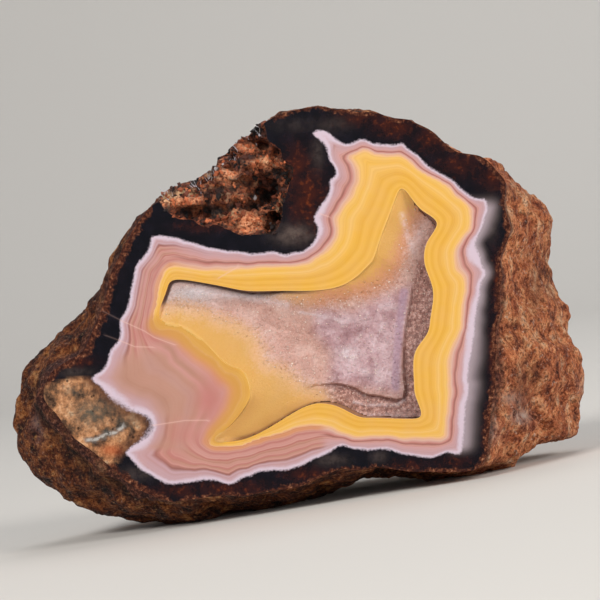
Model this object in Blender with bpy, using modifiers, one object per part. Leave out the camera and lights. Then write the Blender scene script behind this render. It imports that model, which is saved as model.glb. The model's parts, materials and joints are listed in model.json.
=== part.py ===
"""Half of a banded agate nodule, cut flat and polished, standing on a flat spot of its rind.

The stone is drawn in the frame of its cut face: u runs to the right, v up and w into the
stone, in millimetres, with w = 0 on the polished plane. An empty turns it to the way it
rests: rolled onto its underside and leaning back a little. The finished stone stands on
z = 0 with its bounding box centred over the origin.

Nodes: agate_nodule is the whole stone, and quartz_crust is the druse on its pocket's floor.
"""

import math

import bmesh
import bpy
import numpy as np
from mathutils import Matrix, Vector, noise

MM = 0.001

# Driving dimensions, in millimetres and degrees.
DEPTH = 34.0  # from the cut face to the furthest point of the back
LEAN_BACK = 8.0
ROLL_TO_REST = 9.0
REST_HEIGHT = 0.75  # how much of the lowest bulge the flat spot takes away
HEART = (-3.0, 26.0)  # the point that the outlines are measured round
BACK_CENTRE = (-2.0, 28.0)
BACK_FULLNESS = 2.5
UNDERSIDE_FULLNESS = 4.2
FRONT_ALLOWANCE = 3.0  # stone in front of the cut plane, sawn away

POCKET_DEPTH = 4.0
SLOPE_EASE = 1.5  # how much steeper a slope starts at the rim than an even one
CRUST_GAP = 0.3
CRUST_THICKNESS = 0.75
PLATE_RISE = 0.55  # how far the crust's plate stands above the ledge round it
CRYSTAL_WIDTH = 1.5
CRYSTAL_HEIGHT = 0.6

NODULE_TRIANGLES = 5600
CRUST_TRIANGLES = 2100
VOXEL = 0.8
CRUST_VOXEL = 0.3
ROUND = 180  # steps round the nodule

# The rim of the cut face, (u, v), clockwise from the left end.
RIM = (
    (-35.3, 18.2), (-34.4, 20.6), (-32.4, 22.2), (-29.4, 23.4), (-28.2, 26.0), (-27.0, 29.0),
    (-26.3, 31.5), (-26.2, 33.5), (-25.2, 36.0), (-24.0, 38.2), (-22.6, 40.6), (-20.6, 43.0),
    (-18.6, 44.0), (-15.6, 45.1), (-13.4, 46.2), (-11.2, 47.8), (-9.0, 50.2), (-6.8, 52.6),
    (-5.0, 53.8), (-3.0, 54.9), (0.0, 55.6), (2.2, 56.0), (5.2, 55.5), (8.0, 55.2),
    (11.3, 54.8), (12.0, 53.9), (13.7, 54.1), (15.4, 53.6), (17.6, 52.6), (18.8, 51.4),
    (20.0, 50.0), (22.2, 48.8), (23.1, 49.4), (25.0, 48.6), (26.6, 46.8), (28.0, 45.1),
    (27.3, 42.6), (28.0, 40.4), (28.5, 38.4), (27.2, 36.3), (26.9, 34.5), (27.5, 33.0),
    (26.7, 30.6), (26.9, 28.0), (25.8, 25.2), (26.4, 23.5), (25.8, 21.0), (26.0, 18.5),
    (25.4, 15.5), (25.5, 13.0), (25.0, 10.5), (24.7, 8.0), (23.2, 6.9), (20.1, 7.0),
    (17.5, 7.1), (15.0, 6.9), (12.2, 7.6), (10.1, 7.8), (7.7, 7.5), (5.3, 7.8),
    (3.0, 6.6), (0.0, 5.2), (-3.0, 4.9), (-5.0, 4.6), (-7.8, 3.9), (-10.0, 4.1),
    (-12.2, 3.8), (-14.6, 3.6), (-18.0, 3.2), (-20.0, 4.0), (-22.4, 5.0), (-24.6, 6.5),
    (-25.8, 8.1), (-27.6, 10.0), (-29.5, 11.1), (-30.8, 12.3), (-32.1, 14.0), (-33.2, 15.4),
    (-34.9, 16.6),
)

# The widest line round the rind, (u, v, w), clockwise from the left end.
GIRTH = (
    (-41.3, 14.0, 10), (-41.8, 17.4, 10), (-41.3, 21.9, 10), (-38.9, 24.9, 10),
    (-35.5, 27.1, 10), (-33.0, 29.4, 9), (-30.8, 32.4, 9), (-28.8, 35.6, 8),
    (-26.6, 39.2, 8), (-24.0, 42.6, 8), (-20.5, 45.0, 7), (-16.5, 46.6, 6),
    (-13.0, 48.4, 6), (-10.0, 51.0, 6), (-7.0, 53.6, 6), (-3.5, 55.4, 6),
    (0.0, 56.2, 6), (5.0, 56.0, 6), (10.3, 55.3, 6), (12.2, 54.1, 6),
    (15.3, 54.0, 7), (18.2, 52.0, 8), (20.6, 49.9, 8), (22.2, 48.9, 8),
    (24.6, 48.9, 9), (26.3, 46.5, 12), (29.2, 45.0, 15), (31.5, 43.4, 18),
    (31.1, 41.0, 18), (30.7, 36.1, 18), (31.4, 31.9, 18), (33.2, 29.9, 18),
    (33.3, 25.5, 18), (35.0, 21.7, 18), (35.4, 19.2, 18), (34.2, 16.8, 18),
    (33.9, 12.6, 17), (29.9, 11.2, 14), (27.4, 8.4, 9), (24.6, 7.4, 8),
    (21.5, 7.3, 12), (17.0, 7.3, 13), (12.0, 7.0, 13), (8.5, 6.9, 13),
    (4.5, 5.6, 13), (0.0, 5.0, 14), (-5.0, 3.8, 14), (-10.5, 2.6, 14),
    (-15.5, 1.1, 14), (-20.3, 0.2, 14), (-25.0, 0.6, 14), (-30.0, 2.5, 13),
    (-34.6, 3.7, 12), (-39.0, 6.7, 11), (-41.0, 10.6, 10),
)

# The pocket, clockwise: each point of its rim (u, v) with the point of its floor below it.
# Where the two lie apart, the wall is a slope.
POCKET = (
    ((-17.6, 33.1), (-17.0, 32.4)), ((-14.0, 32.7), (-14.0, 32.1)),
    ((-10.0, 31.9), (-10.0, 31.4)), ((-7.0, 31.3), (-7.0, 30.8)),
    ((-2.5, 31.3), (-2.5, 30.3)), ((1.9, 31.2), (1.9, 29.8)),
    ((6.2, 31.9), (7.2, 30.0)), ((9.2, 34.4), (10.6, 31.6)),
    ((10.1, 35.6), (12.6, 34.0)), ((11.1, 38.6), (14.0, 37.0)),
    ((12.5, 42.0), (14.9, 39.6)), ((13.7, 44.9), (15.4, 40.9)),
    ((15.3, 43.0), (16.0, 40.9)), ((16.5, 41.6), (16.6, 40.4)),
    ((18.8, 39.9), (17.2, 39.4)), ((17.1, 37.4), (16.8, 37.2)),
    ((16.8, 34.4), (16.6, 34.4)), ((18.1, 31.0), (17.4, 31.0)),
    ((17.6, 27.3), (17.2, 27.3)), ((17.3, 25.3), (16.6, 25.0)),
    ((15.6, 23.1), (15.3, 22.9)), ((15.3, 21.0), (15.0, 21.0)),
    ((15.4, 19.0), (15.1, 19.0)), ((15.5, 17.1), (15.2, 17.1)),
    ((16.5, 14.3), (15.9, 14.8)), ((14.3, 14.0), (14.3, 14.5)),
    ((10.1, 14.2), (10.1, 14.8)), ((7.9, 14.3), (7.9, 15.0)),
    ((5.1, 15.8), (5.1, 16.4)), ((1.9, 16.2), (1.9, 16.8)),
    ((-1.2, 14.8), (-1.0, 15.8)), ((-4.7, 12.7), (-3.6, 14.3)),
    ((-8.2, 11.3), (-5.6, 13.6)), ((-12.0, 11.3), (-6.0, 14.4)),
    ((-9.5, 13.3), (-4.4, 16.0)), ((-7.2, 16.3), (-2.6, 18.0)),
    ((-6.8, 17.8), (-2.2, 19.4)), ((-7.7, 20.6), (-3.6, 21.6)),
    ((-10.2, 21.5), (-5.2, 24.0)), ((-12.6, 24.1), (-7.2, 26.6)),
    ((-15.9, 26.8), (-11.4, 28.9)), ((-19.6, 27.6), (-16.4, 29.8)),
    ((-18.4, 31.3), (-17.6, 31.0)),
)

# The quartz crust's outline on the pocket's floor, (u, v), clockwise.
CRUST = (
    (-16.6, 31.7), (-14.0, 31.6), (-10.0, 30.8), (-7.0, 30.2), (-2.5, 29.8), (1.9, 29.3),
    (7.3, 29.5), (10.9, 31.1), (13.0, 33.7), (14.4, 36.8), (15.3, 39.4), (15.8, 40.3),
    (16.2, 40.2), (16.7, 39.3), (16.3, 37.2), (16.1, 34.4), (16.9, 31.0), (16.7, 27.4),
    (16.1, 25.2), (14.8, 23.1), (14.5, 21.0), (14.6, 19.0), (14.7, 17.2), (15.2, 15.4),
    (14.2, 15.1), (10.1, 15.4), (8.0, 15.6), (5.2, 17.0), (1.8, 17.4), (-0.2, 17.1),
    (-1.9, 18.2), (-1.6, 19.6), (-3.0, 22.0), (-4.7, 24.5), (-6.8, 27.1), (-11.2, 29.5),
    (-16.2, 30.4),
)

# The crust's plate ends at this outline's lower and right edges, (u, v), clockwise.
PLATE = (
    (-19.0, 33.5), (2.0, 31.5), (9.0, 31.5), (13.5, 36.0), (15.4, 41.5), (15.9, 38.0),
    (15.8, 34.4), (15.4, 31.0), (14.9, 28.2), (14.2, 26.0), (13.6, 24.4), (13.5, 21.0),
    (13.5, 16.9), (10.3, 17.2), (8.4, 17.5), (6.9, 18.3), (4.6, 18.9), (2.2, 18.8),
    (0.4, 18.4), (-1.6, 18.8), (-5.0, 18.8), (-19.0, 27.0),
)

# The broken hollow in the upper left of the face, (u, v), clockwise from the rind's edge.
HOLLOW = (
    (-20.5, 47.5), (-13.0, 51.5), (-6.0, 56.5), (-4.9, 53.0), (-4.4, 51.4), (-2.9, 50.4),
    (-2.5, 48.8), (-0.9, 47.7), (-1.4, 46.0), (-1.9, 44.4), (-2.5, 42.6), (-2.7, 40.6),
    (-3.5, 39.1), (-5.4, 39.0), (-8.0, 38.9), (-9.8, 39.7), (-11.5, 40.5), (-13.1, 40.1),
    (-14.9, 41.2), (-16.9, 41.3), (-18.3, 42.3), (-19.2, 43.4),
)
HOLLOW_DEPTH = 3.0
HOLLOW_WALL = 1.1  # how far in from its edge the hollow reaches its depth
HOLLOW_STEP = 0.75
# Lumps left standing in the hollow, and holes sunk in it: u, v, radius, height.
HOLLOW_LUMPS = (
    (-7.2, 41.0, 1.9, 2.3), (-9.4, 41.0, 1.1, 1.4), (-9.8, 47.2, 1.7, 2.2),
    (-8.2, 48.2, 1.2, 1.7), (-5.2, 49.5, 1.3, 2.0), (-7.2, 49.6, 1.0, 1.5),
    (-9.8, 44.2, 1.6, 1.7), (-12.6, 41.9, 1.3, 1.8), (-11.6, 44.6, 1.3, 1.5),
    (-16.4, 43.3, 1.5, 2.2), (-14.2, 43.8, 1.2, 1.7), (-3.3, 46.9, 1.2, 1.8),
    (-2.6, 44.6, 0.9, 1.4), (-8.6, 51.4, 1.0, 1.6), (-4.0, 42.6, 0.9, 1.2),
    (-5.3, 45.2, 1.8, -1.6), (-7.0, 44.0, 1.2, -1.2), (-4.4, 40.6, 1.1, -1.2),
    (-6.9, 51.2, 0.9, -1.0), (-14.8, 42.0, 0.8, -0.8),
)

COLOURS = {
    "agate_nodule": (0.36, 0.15, 0.08, 1.0),
    "quartz_crust": (0.62, 0.42, 0.43, 1.0),
}
ROUGHNESS = {"agate_nodule": 0.7, "quartz_crust": 0.35}


def clear_scene():
    for old in list(bpy.data.objects):
        bpy.data.objects.remove(old, do_unlink=True)


def collection(name):
    made = bpy.data.collections.new(name)
    bpy.context.scene.collection.children.link(made)
    return made


def material(name):
    made = bpy.data.materials.new(name)
    made.use_nodes = True
    shader = made.node_tree.nodes["Principled BSDF"]
    shader.inputs["Base Color"].default_value = COLOURS[name]
    shader.inputs["Roughness"].default_value = ROUGHNESS[name]
    shader.inputs["Metallic"].default_value = 0.0
    return made


def point(u, v, w):
    """A point of the cut face's frame, in metres: u right, w into the stone, v up."""
    return Vector((u * MM, w * MM, v * MM))


def smooth_step(low, high, x):
    t = np.clip((x - low) / (high - low), 0.0, 1.0)
    return t * t * (3.0 - 2.0 * t)


def object_from(bm, name, home):
    mesh = bpy.data.meshes.new(name)
    bm.to_mesh(mesh)
    bm.free()
    made = bpy.data.objects.new(name, mesh)
    home.objects.link(made)
    return made


def baked(obj):
    """Replaces the object's mesh with what its modifiers make of it."""
    graph = bpy.context.evaluated_depsgraph_get()
    mesh = bpy.data.meshes.new_from_object(obj.evaluated_get(graph))
    obj.modifiers.clear()
    obj.data = mesh
    return obj


def round_curve(points, steps):
    """A closed Catmull-Rom curve through the points, with that many steps to each span."""
    p = np.array(points, float)
    before, after, beyond = np.roll(p, 1, 0), np.roll(p, -1, 0), np.roll(p, -2, 0)
    out = []
    for k in range(steps):
        t = k / steps
        out.append(
            0.5 * (2 * p + (after - before) * t
                   + (2 * before - 5 * p + 4 * after - beyond) * t**2
                   + (3 * p - before - 3 * after + beyond) * t**3)
        )
    return np.stack(out, 1).reshape(-1, p.shape[1])


def polar(outline):
    """The outline's angles round the heart, rising, with its radius and what else it holds."""
    p = np.array(outline, float)
    du, dv = p[:, 0] - HEART[0], p[:, 1] - HEART[1]
    angle = np.arctan2(dv, du)
    order = np.argsort(angle)
    rows = np.column_stack([np.hypot(du, dv), p[:, 2:]])[order]
    return angle[order], rows


def ring(outline, angles):
    """The outline's radius, and what else it holds, at each of these angles."""
    known, rows = polar(outline)
    columns = [np.interp(angles, known, c, period=2 * math.pi) for c in rows.T]
    return np.array(columns)


def loft(bm, sections):
    """Joins rings of equally many points, in order, and closes the two ends."""
    rings = [[bm.verts.new(co) for co in section] for section in sections]
    n = len(rings[0])
    for near, far in zip(rings, rings[1:]):
        for i in range(n):
            j = (i + 1) % n
            bm.faces.new((near[i], near[j], far[j], far[i]))
    bm.faces.new(rings[0])
    bm.faces.new(rings[-1])
    bmesh.ops.triangulate(bm, faces=bm.faces[:])
    bmesh.ops.recalc_face_normals(bm, faces=bm.faces[:])


def nodule_sections():
    """Rings of the rind, from in front of the cut plane, over the girth, to the back."""
    angles = np.linspace(-math.pi, math.pi, ROUND, endpoint=False)
    (rim,) = ring(RIM, angles)
    girth, girth_w = ring(GIRTH, angles)
    fullness = BACK_FULLNESS + (UNDERSIDE_FULLNESS - BACK_FULLNESS) * smooth_step(
        0.35, 0.95, -np.sin(angles)
    )
    rows = [(rim, np.full(ROUND, -FRONT_ALLOWANCE), 0.0), (rim, np.zeros(ROUND), 0.0)]
    for t in (0.12, 0.25, 0.4, 0.55, 0.7, 0.85, 1.0):
        rows.append((rim + (girth - rim) * math.sin(t * math.pi / 2), girth_w * t, 0.0))
    for t in np.linspace(0.05, 0.985, 18):
        sine, cosine = math.sin(t * math.pi / 2), math.cos(t * math.pi / 2)
        rows.append((girth * cosine ** (2 / fullness), girth_w + (DEPTH - girth_w) * sine, sine))
    for radius, w, drift in rows:
        centre = np.array(HEART) * (1 - drift) + np.array(BACK_CENTRE) * drift
        u = centre[0] + radius * np.cos(angles)
        v = centre[1] + radius * np.sin(angles)
        yield [point(*uvw) for uvw in zip(u, v, w)]


def rind_height(co):
    """How far the weathered rind stands out at a point, in metres: lumps, knobs and pits."""
    p = co / MM
    away_from_face = float(smooth_step(-0.5, 4.0, p.y))
    lumps = noise.noise(p / 9.0 + Vector((3.1, 0.4, 7.7)))
    knobs = noise.noise(p / 3.8 + Vector((9.2, 5.1, 1.3)))
    grains = noise.noise(p / 1.9)
    pit = max(0.0, 1.0 - noise.voronoi(p / 6.5 + Vector((0.2, 0.7, 0.4)))[0][0] / 0.34)
    rough = 1.1 * lumps + 0.75 * knobs + 0.3 * grains - 1.5 * pit
    return (0.15 + 0.85 * away_from_face) * rough * MM


def roughen(mesh, height):
    """Moves each vertex along its normal by height(co)."""
    normals = [v.normal.copy() for v in mesh.vertices]
    for vertex, normal in zip(mesh.vertices, normals):
        vertex.co += normal * height(vertex.co)


def add_boolean(obj, cutter):
    cut = obj.modifiers.new(cutter.name, "BOOLEAN")
    cut.operation = "DIFFERENCE"
    cut.solver = "EXACT"
    cut.object = cutter


def remeshed(obj, voxel):
    remesh = obj.modifiers.new("even faces", "REMESH")
    remesh.mode = "VOXEL"
    remesh.voxel_size = voxel * MM
    return baked(obj)


def decimated(obj, triangles):
    bm = bmesh.new()
    bm.from_mesh(obj.data)
    bmesh.ops.triangulate(bm, faces=bm.faces[:])
    bm.to_mesh(obj.data)
    bm.free()
    thin = obj.modifiers.new("fewer faces", "DECIMATE")
    thin.ratio = min(1.0, triangles / len(obj.data.polygons))
    return baked(obj)


def make_nodule(home):
    bm = bmesh.new()
    loft(bm, list(nodule_sections()))
    nodule = remeshed(object_from(bm, "agate_nodule", home), VOXEL)
    roughen(nodule.data, rind_height)
    return decimated(nodule, NODULE_TRIANGLES)


def helper(obj):
    obj.hide_render = True
    obj.display_type = "WIRE"
    return obj


def slab(name, home, centre, size):
    """A box for sawing a flat, given its centre and size in the face's frame."""
    bm = bmesh.new()
    bmesh.ops.create_cube(bm, size=1.0)
    bmesh.ops.scale(bm, vec=Vector(size) * MM, verts=bm.verts)
    bmesh.ops.translate(bm, vec=point(*centre), verts=bm.verts)
    return helper(object_from(bm, name, home))


def make_pocket_cutter(home):
    """The pocket's hollow: its mouth, its rim, walls and slopes that ease out, and its floor."""
    rim = round_curve([a for a, _ in POCKET], 2)
    floor = round_curve([b for _, b in POCKET], 2)
    sections = [[point(u, v, -1.0) for u, v in rim]]
    for t in np.linspace(0.0, 1.0, 7):
        wall = rim + (floor - rim) * t
        w = POCKET_DEPTH * (1 - (1 - t) ** SLOPE_EASE)
        sections.append([point(u, v, w) for u, v in wall])
    bm = bmesh.new()
    loft(bm, sections)
    return helper(object_from(bm, "pocket_cutter", home))


def inside_distance(outline, p):
    """Distance from p to the outline, positive inside it, in the outline's own units."""
    a = np.array(outline, float)
    b = np.roll(a, -1, 0)
    ab, ap = b - a, np.array(p) - a
    t = np.clip((ap * ab).sum(1) / (ab * ab).sum(1), 0, 1)
    near = np.hypot(*(ap - ab * t[:, None]).T).min()
    crosses = (a[:, 1] > p[1]) != (b[:, 1] > p[1])
    with np.errstate(divide="ignore", invalid="ignore"):
        at = a[:, 0] + (p[1] - a[:, 1]) / (b[:, 1] - a[:, 1]) * ab[:, 0]
    inside = np.count_nonzero(crosses & (p[0] < at)) % 2
    return near if inside else -near


def hollow_depth(u, v):
    """Depth of the broken hollow, in millimetres: negative outside it, above the face."""
    inside = inside_distance(HOLLOW, (u, v))
    floor = HOLLOW_DEPTH + 0.9 * noise.noise(Vector((u / 1.7, v / 1.7, 4.2)))
    for lump_u, lump_v, radius, height in HOLLOW_LUMPS:
        away = math.hypot(u - lump_u, v - lump_v) / radius
        floor -= height * math.exp(-(away**2))
    wall = inside / HOLLOW_WALL
    return max(-1.0, floor * min(1.0, wall)) if wall > 0 else max(-1.0, wall)


def make_hollow_cutter(home):
    """A block above the hollow's floor: a sheet shaped by hollow_depth, drawn up to a roof."""
    outline = np.array(HOLLOW)
    low, high = outline.min(0) - 1.5, outline.max(0) + 1.5
    steps = np.ceil((high - low) / HOLLOW_STEP).astype(int)
    size = (high - low) * MM
    bm = bmesh.new()
    bmesh.ops.create_grid(bm, x_segments=steps[0], y_segments=steps[1], size=0.5)
    for vertex in bm.verts:
        u = low[0] + (vertex.co.x + 0.5) * size[0] / MM
        v = low[1] + (vertex.co.y + 0.5) * size[1] / MM
        vertex.co = point(u, v, hollow_depth(u, v))
    edges = [e for e in bm.edges if e.is_boundary]
    raised = bmesh.ops.extrude_edge_only(bm, edges=edges)["geom"]
    for vertex in (g for g in raised if isinstance(g, bmesh.types.BMVert)):
        vertex.co.y = -4.0 * MM
    bmesh.ops.holes_fill(bm, edges=[e for e in bm.edges if e.is_boundary])
    bmesh.ops.recalc_face_normals(bm, faces=bm.faces[:])
    return helper(object_from(bm, "hollow_cutter", home))


def crystal_height(co):
    """How far the crust's top stands up at a point, in metres: a plate, with crystal points."""
    p = co / MM
    cell = p / CRYSTAL_WIDTH
    point_up = max(0.0, 1.0 - noise.voronoi(Vector((cell.x, 0.0, cell.z)))[0][0] / 0.75)
    swell = noise.noise(Vector((p.x / 6.0, 3.7, p.z / 6.0)))
    place = (p.x, p.z)
    crystals = (CRYSTAL_HEIGHT * point_up + 0.3 * swell) * float(
        smooth_step(0.0, 1.8, inside_distance(CRUST, place))
    )
    plate = PLATE_RISE * float(smooth_step(-0.15, 0.3, inside_distance(PLATE, place)))
    return (plate + crystals) * MM


def make_crust(home):
    """A crust that covers the pocket's floor, its top broken into small crystal points."""
    outline = round_curve(CRUST, 2)
    back = POCKET_DEPTH - CRUST_GAP
    front = back - CRUST_THICKNESS
    bm = bmesh.new()
    loft(bm, [[point(u, v, w) for u, v in outline] for w in (back, front)])
    crust = remeshed(object_from(bm, "quartz_crust", home), CRUST_VOXEL)
    for vertex in crust.data.vertices:
        if vertex.co.y < (back - 0.6 * CRUST_THICKNESS) * MM:
            vertex.co.y -= crystal_height(vertex.co)
    return decimated(crust, CRUST_TRIANGLES)


def make_stance(home):
    """An empty that turns the frame of the cut face to the way the stone rests."""
    stance = bpy.data.objects.new("stance", None)
    home.objects.link(stance)
    stance.rotation_mode = "YXZ"
    stance.rotation_euler = (math.radians(-LEAN_BACK), math.radians(ROLL_TO_REST), 0.0)
    return stance


def corners(obj):
    """The object's lowest and highest corners in the world, in metres."""
    bpy.context.view_layer.update()
    points = np.array([obj.matrix_world @ v.co for v in obj.data.vertices])
    return points.min(0), points.max(0)


def main():
    clear_scene()
    stone, cutters = collection("agate"), collection("cutters")
    nodule = make_nodule(stone)
    crust = make_crust(stone)
    saw = slab("saw_cut", cutters, (0.0, 28.0, -10.0), (120.0, 20.0, 120.0))
    for cutter in (saw, make_pocket_cutter(cutters), make_hollow_cutter(cutters)):
        add_boolean(nodule, cutter)
    baked(nodule)

    stance = make_stance(stone)
    for piece in (nodule, crust):
        piece.parent = stance
        piece.data.materials.clear()
        piece.data.materials.append(material(piece.name))
    rest_height = corners(nodule)[0][2] / MM + REST_HEIGHT
    ground = slab("rest_flat", cutters, (0.0, rest_height - 10.0, 0.0), (160.0, 160.0, 20.0))
    add_boolean(nodule, ground)
    baked(nodule)
    low, high = corners(nodule)
    stance.location = (-(low[0] + high[0]) / 2, -(low[1] + high[1]) / 2, -low[2])


main()
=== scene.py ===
"""Looks of a polished agate half: banded cut face, druse-lined pocket, broken hollow and rind.

Points on the stone are given in the frame of its cut face, in millimetres: u runs to the
right, w into the stone and v up, with w = 0 on the polished plane. STANCE turns that frame
to the way the stone stands. The outlines below lie on the cut face, as (u, v).
"""

import json
import math
from functools import partialmethod

import bmesh
import bpy
import numpy as np
from mathutils import Euler, Matrix, Vector, bvhtree, geometry, noise


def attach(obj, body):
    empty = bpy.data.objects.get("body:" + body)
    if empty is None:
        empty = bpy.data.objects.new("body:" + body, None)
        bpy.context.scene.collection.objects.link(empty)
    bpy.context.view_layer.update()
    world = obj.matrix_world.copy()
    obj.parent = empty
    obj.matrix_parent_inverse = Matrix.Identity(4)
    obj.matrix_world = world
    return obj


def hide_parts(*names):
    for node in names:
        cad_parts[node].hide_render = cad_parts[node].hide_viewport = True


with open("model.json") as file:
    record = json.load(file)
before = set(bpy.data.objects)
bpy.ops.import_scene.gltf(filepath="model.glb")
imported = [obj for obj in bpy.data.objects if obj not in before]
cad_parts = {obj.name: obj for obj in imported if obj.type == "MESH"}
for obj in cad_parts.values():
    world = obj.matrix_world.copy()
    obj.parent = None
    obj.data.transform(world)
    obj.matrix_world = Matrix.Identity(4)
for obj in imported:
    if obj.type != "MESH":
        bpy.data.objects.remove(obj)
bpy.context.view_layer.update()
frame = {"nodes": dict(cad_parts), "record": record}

MM = 0.001

# How the stone stands, in degrees, and where the record's cut_face mount lies on the face.
LEAN_BACK = 8.0
ROLL_TO_REST = 9.0
MOUNT_ON_FACE = (-17.0, 18.0)

# The camera, in the frame of the cut face.
VIEW_AZIMUTH = 12.0
VIEW_ELEVATION = -5.0
VIEW_DISTANCE = 450.0
VIEW_TARGET = (0.0, 30.0)
VIEW_WIDTH = 80.0  # what the picture spans at the target
SENSOR_MM = 36.0

FACE_SPACING = 0.45
PLANE_REACH = 0.02  # how near to the cut plane a CAD point counts as on it
POCKET_FLOOR = 4.8  # the pocket's faces lie in front of this, and the back's behind it
HOLLOW_REACH = 5.0

DRUSE_SPACING = 0.17
LEDGE_DEPTH = 2.9  # how deep the druse lies below the cut, beside its plate
PLATE_RISE = 0.5
DRUSE_OVERLAP = 0.3  # how far the druse runs on behind the slopes
CRYSTAL_SPACING = 0.31
CRYSTAL_SEED = 5
CRYSTAL_WIDTH = (0.09, 0.1)  # the smallest, and how much more the largest have
CRYSTAL_HEIGHT = (0.05, 0.12)
SHARP_ANGLE = 28.0  # in degrees

LUMP_HEIGHT = 1.0
HOLE_DEPTH = 1.3
PIT_DEPTH = 0.6
CRUMB_SPACING = 0.42  # between the hollow's loose crumbs
CRUMB_SIZE = (0.1, 0.24)
FIBRES_PER_TUFT = 12
FIBRE_RADIUS = 0.036
CRACK_WIDTH = 0.07
RIM_REACH = 1.2  # how near to a ramp's line the pocket's rim counts as its edge
REST_ZONE = 0.06  # points this near to the ground keep the rest spot flat

# Outer edge of the white band, clockwise from its upper left corner.
WHITE_EDGE = (
    (-20.3, 38.9), (-17.4, 38.8), (-15.7, 38.3), (-13.9, 37.7), (-12.2, 37.3), (-9.1, 36.7),
    (-5.6, 36.4), (-3.9, 36.5), (-2.1, 36.2), (-0.6, 36.3), (0.7, 36.8), (1.8, 37.9),
    (2.5, 39.4), (1.9, 41.0), (2.7, 42.4), (3.6, 43.6), (4.1, 44.9), (4.0, 45.8), (4.8, 46.6),
    (4.65, 47.7), (4.0, 48.6), (3.8, 49.8), (2.9, 51.2), (1.7, 52.3), (3.2, 52.8), (4.9, 51.6),
    (6.0, 50.8), (7.3, 51.0), (8.6, 51.4), (9.9, 50.8), (11.2, 50.6), (12.5, 50.5),
    (13.9, 50.7), (14.8, 49.9), (16.1, 49.0), (17.2, 47.8), (18.7, 46.8), (20.2, 45.9),
    (21.3, 44.8), (22.6, 43.7), (23.7, 43.1), (25.3, 42.7), (24.9, 40.2), (24.3, 38.7),
    (23.65, 37.3), (24.0, 35.8), (24.4, 34.3), (24.95, 33.2), (24.5, 32.1), (24.2, 30.4),
    (23.9, 28.5), (23.4, 25.2), (23.2, 23.0), (22.75, 20.9), (22.5, 19.2), (22.75, 18.4),
    (22.6, 17.1), (22.2, 15.6), (22.1, 13.5), (21.9, 11.3), (21.5, 9.3), (20.2, 9.4),
    (18.9, 9.2), (17.2, 8.8), (15.4, 9.0), (13.7, 9.4), (12.4, 9.8), (10.7, 10.0), (9.0, 9.85),
    (7.3, 10.1), (5.8, 10.5), (4.5, 10.0), (3.0, 9.2), (1.2, 8.5), (0.0, 7.9), (-1.25, 7.4),
    (-3.0, 7.3), (-5.2, 7.2), (-6.5, 6.7), (-8.25, 6.1), (-9.6, 5.45), (-11.3, 6.0),
    (-13.1, 6.2), (-14.8, 5.95), (-16.6, 5.65), (-18.3, 5.7), (-20.1, 6.7), (-21.8, 7.55),
    (-23.1, 8.8), (-24.0, 9.9), (-22.3, 11.2), (-21.0, 12.3), (-20.5, 13.4), (-21.0, 14.6),
    (-23.1, 15.4), (-24.6, 16.2), (-25.9, 17.0), (-26.6, 17.9), (-27.6, 18.9), (-28.7, 19.8),
    (-27.5, 20.9), (-26.5, 22.1), (-26.0, 23.8), (-24.85, 25.3), (-24.7, 27.7), (-23.9, 29.2),
    (-23.5, 30.9), (-22.9, 33.7), (-22.5, 35.2), (-21.1, 36.9), (-20.6, 38.2),
)

# Outer edge of the yellow bands.
YELLOW_EDGE = (
    (-20.0, 28.0), (-19.5, 30.7), (-19.2, 32.8), (-18.5, 34.3), (-17.4, 34.9), (-15.7, 34.7),
    (-13.5, 34.3), (-10.0, 34.2), (-5.0, 34.5), (0.0, 34.7), (1.9, 35.3), (3.6, 36.5),
    (4.9, 38.0), (5.1, 39.5), (5.1, 41.0), (5.8, 42.3), (7.1, 44.0), (7.9, 45.6), (8.0, 47.1),
    (7.3, 48.4), (6.9, 49.1), (7.9, 49.6), (9.0, 49.9), (10.3, 49.3), (12.0, 49.0),
    (13.7, 49.0), (15.0, 48.2), (16.6, 46.9), (18.1, 46.0), (19.8, 44.9), (21.3, 43.5),
    (22.8, 42.2), (23.2, 41.1), (23.1, 39.8), (22.8, 38.8), (21.7, 37.5), (21.1, 36.5),
    (21.0, 35.2), (21.3, 33.7), (22.2, 32.6), (22.4, 31.3), (22.05, 29.6), (21.8, 27.3),
    (21.7, 25.6), (21.0, 24.1), (20.3, 22.6), (20.0, 20.9), (20.0, 18.8), (20.1, 16.7),
    (19.85, 14.6), (19.5, 12.5), (19.2, 11.5), (18.0, 11.5), (13.7, 11.5), (11.6, 11.8),
    (9.4, 11.8), (7.7, 11.6), (5.8, 12.2), (4.0, 13.1), (1.9, 13.5), (0.0, 13.2),
    (-1.3, 12.9), (-3.0, 12.4), (-5.2, 11.8), (-6.9, 11.2), (-9.1, 10.8), (-11.3, 10.7),
    (-12.4, 11.3), (-11.5, 12.3), (-10.0, 13.8), (-8.8, 15.3), (-8.0, 17.0), (-7.9, 18.7),
    (-8.7, 20.0), (-10.0, 20.6), (-11.1, 21.9), (-12.6, 23.0), (-14.4, 24.3), (-15.7, 25.6),
    (-17.4, 26.5), (-19.6, 26.7),
)

# The broken hollow at the upper left, from the rind's edge.
HOLLOW = (
    (-20.5, 47.5), (-13.0, 51.5), (-6.0, 56.5), (-4.9, 53.0), (-4.4, 51.4), (-2.9, 50.4),
    (-2.5, 48.8), (-0.9, 47.7), (-1.4, 46.0), (-1.9, 44.4), (-2.5, 42.6), (-2.7, 40.6),
    (-3.5, 39.1), (-5.4, 39.0), (-8.0, 38.9), (-9.8, 39.7), (-11.5, 40.5), (-13.1, 40.1),
    (-14.9, 41.2), (-16.9, 41.3), (-18.3, 42.3), (-19.2, 43.4),
)

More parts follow.
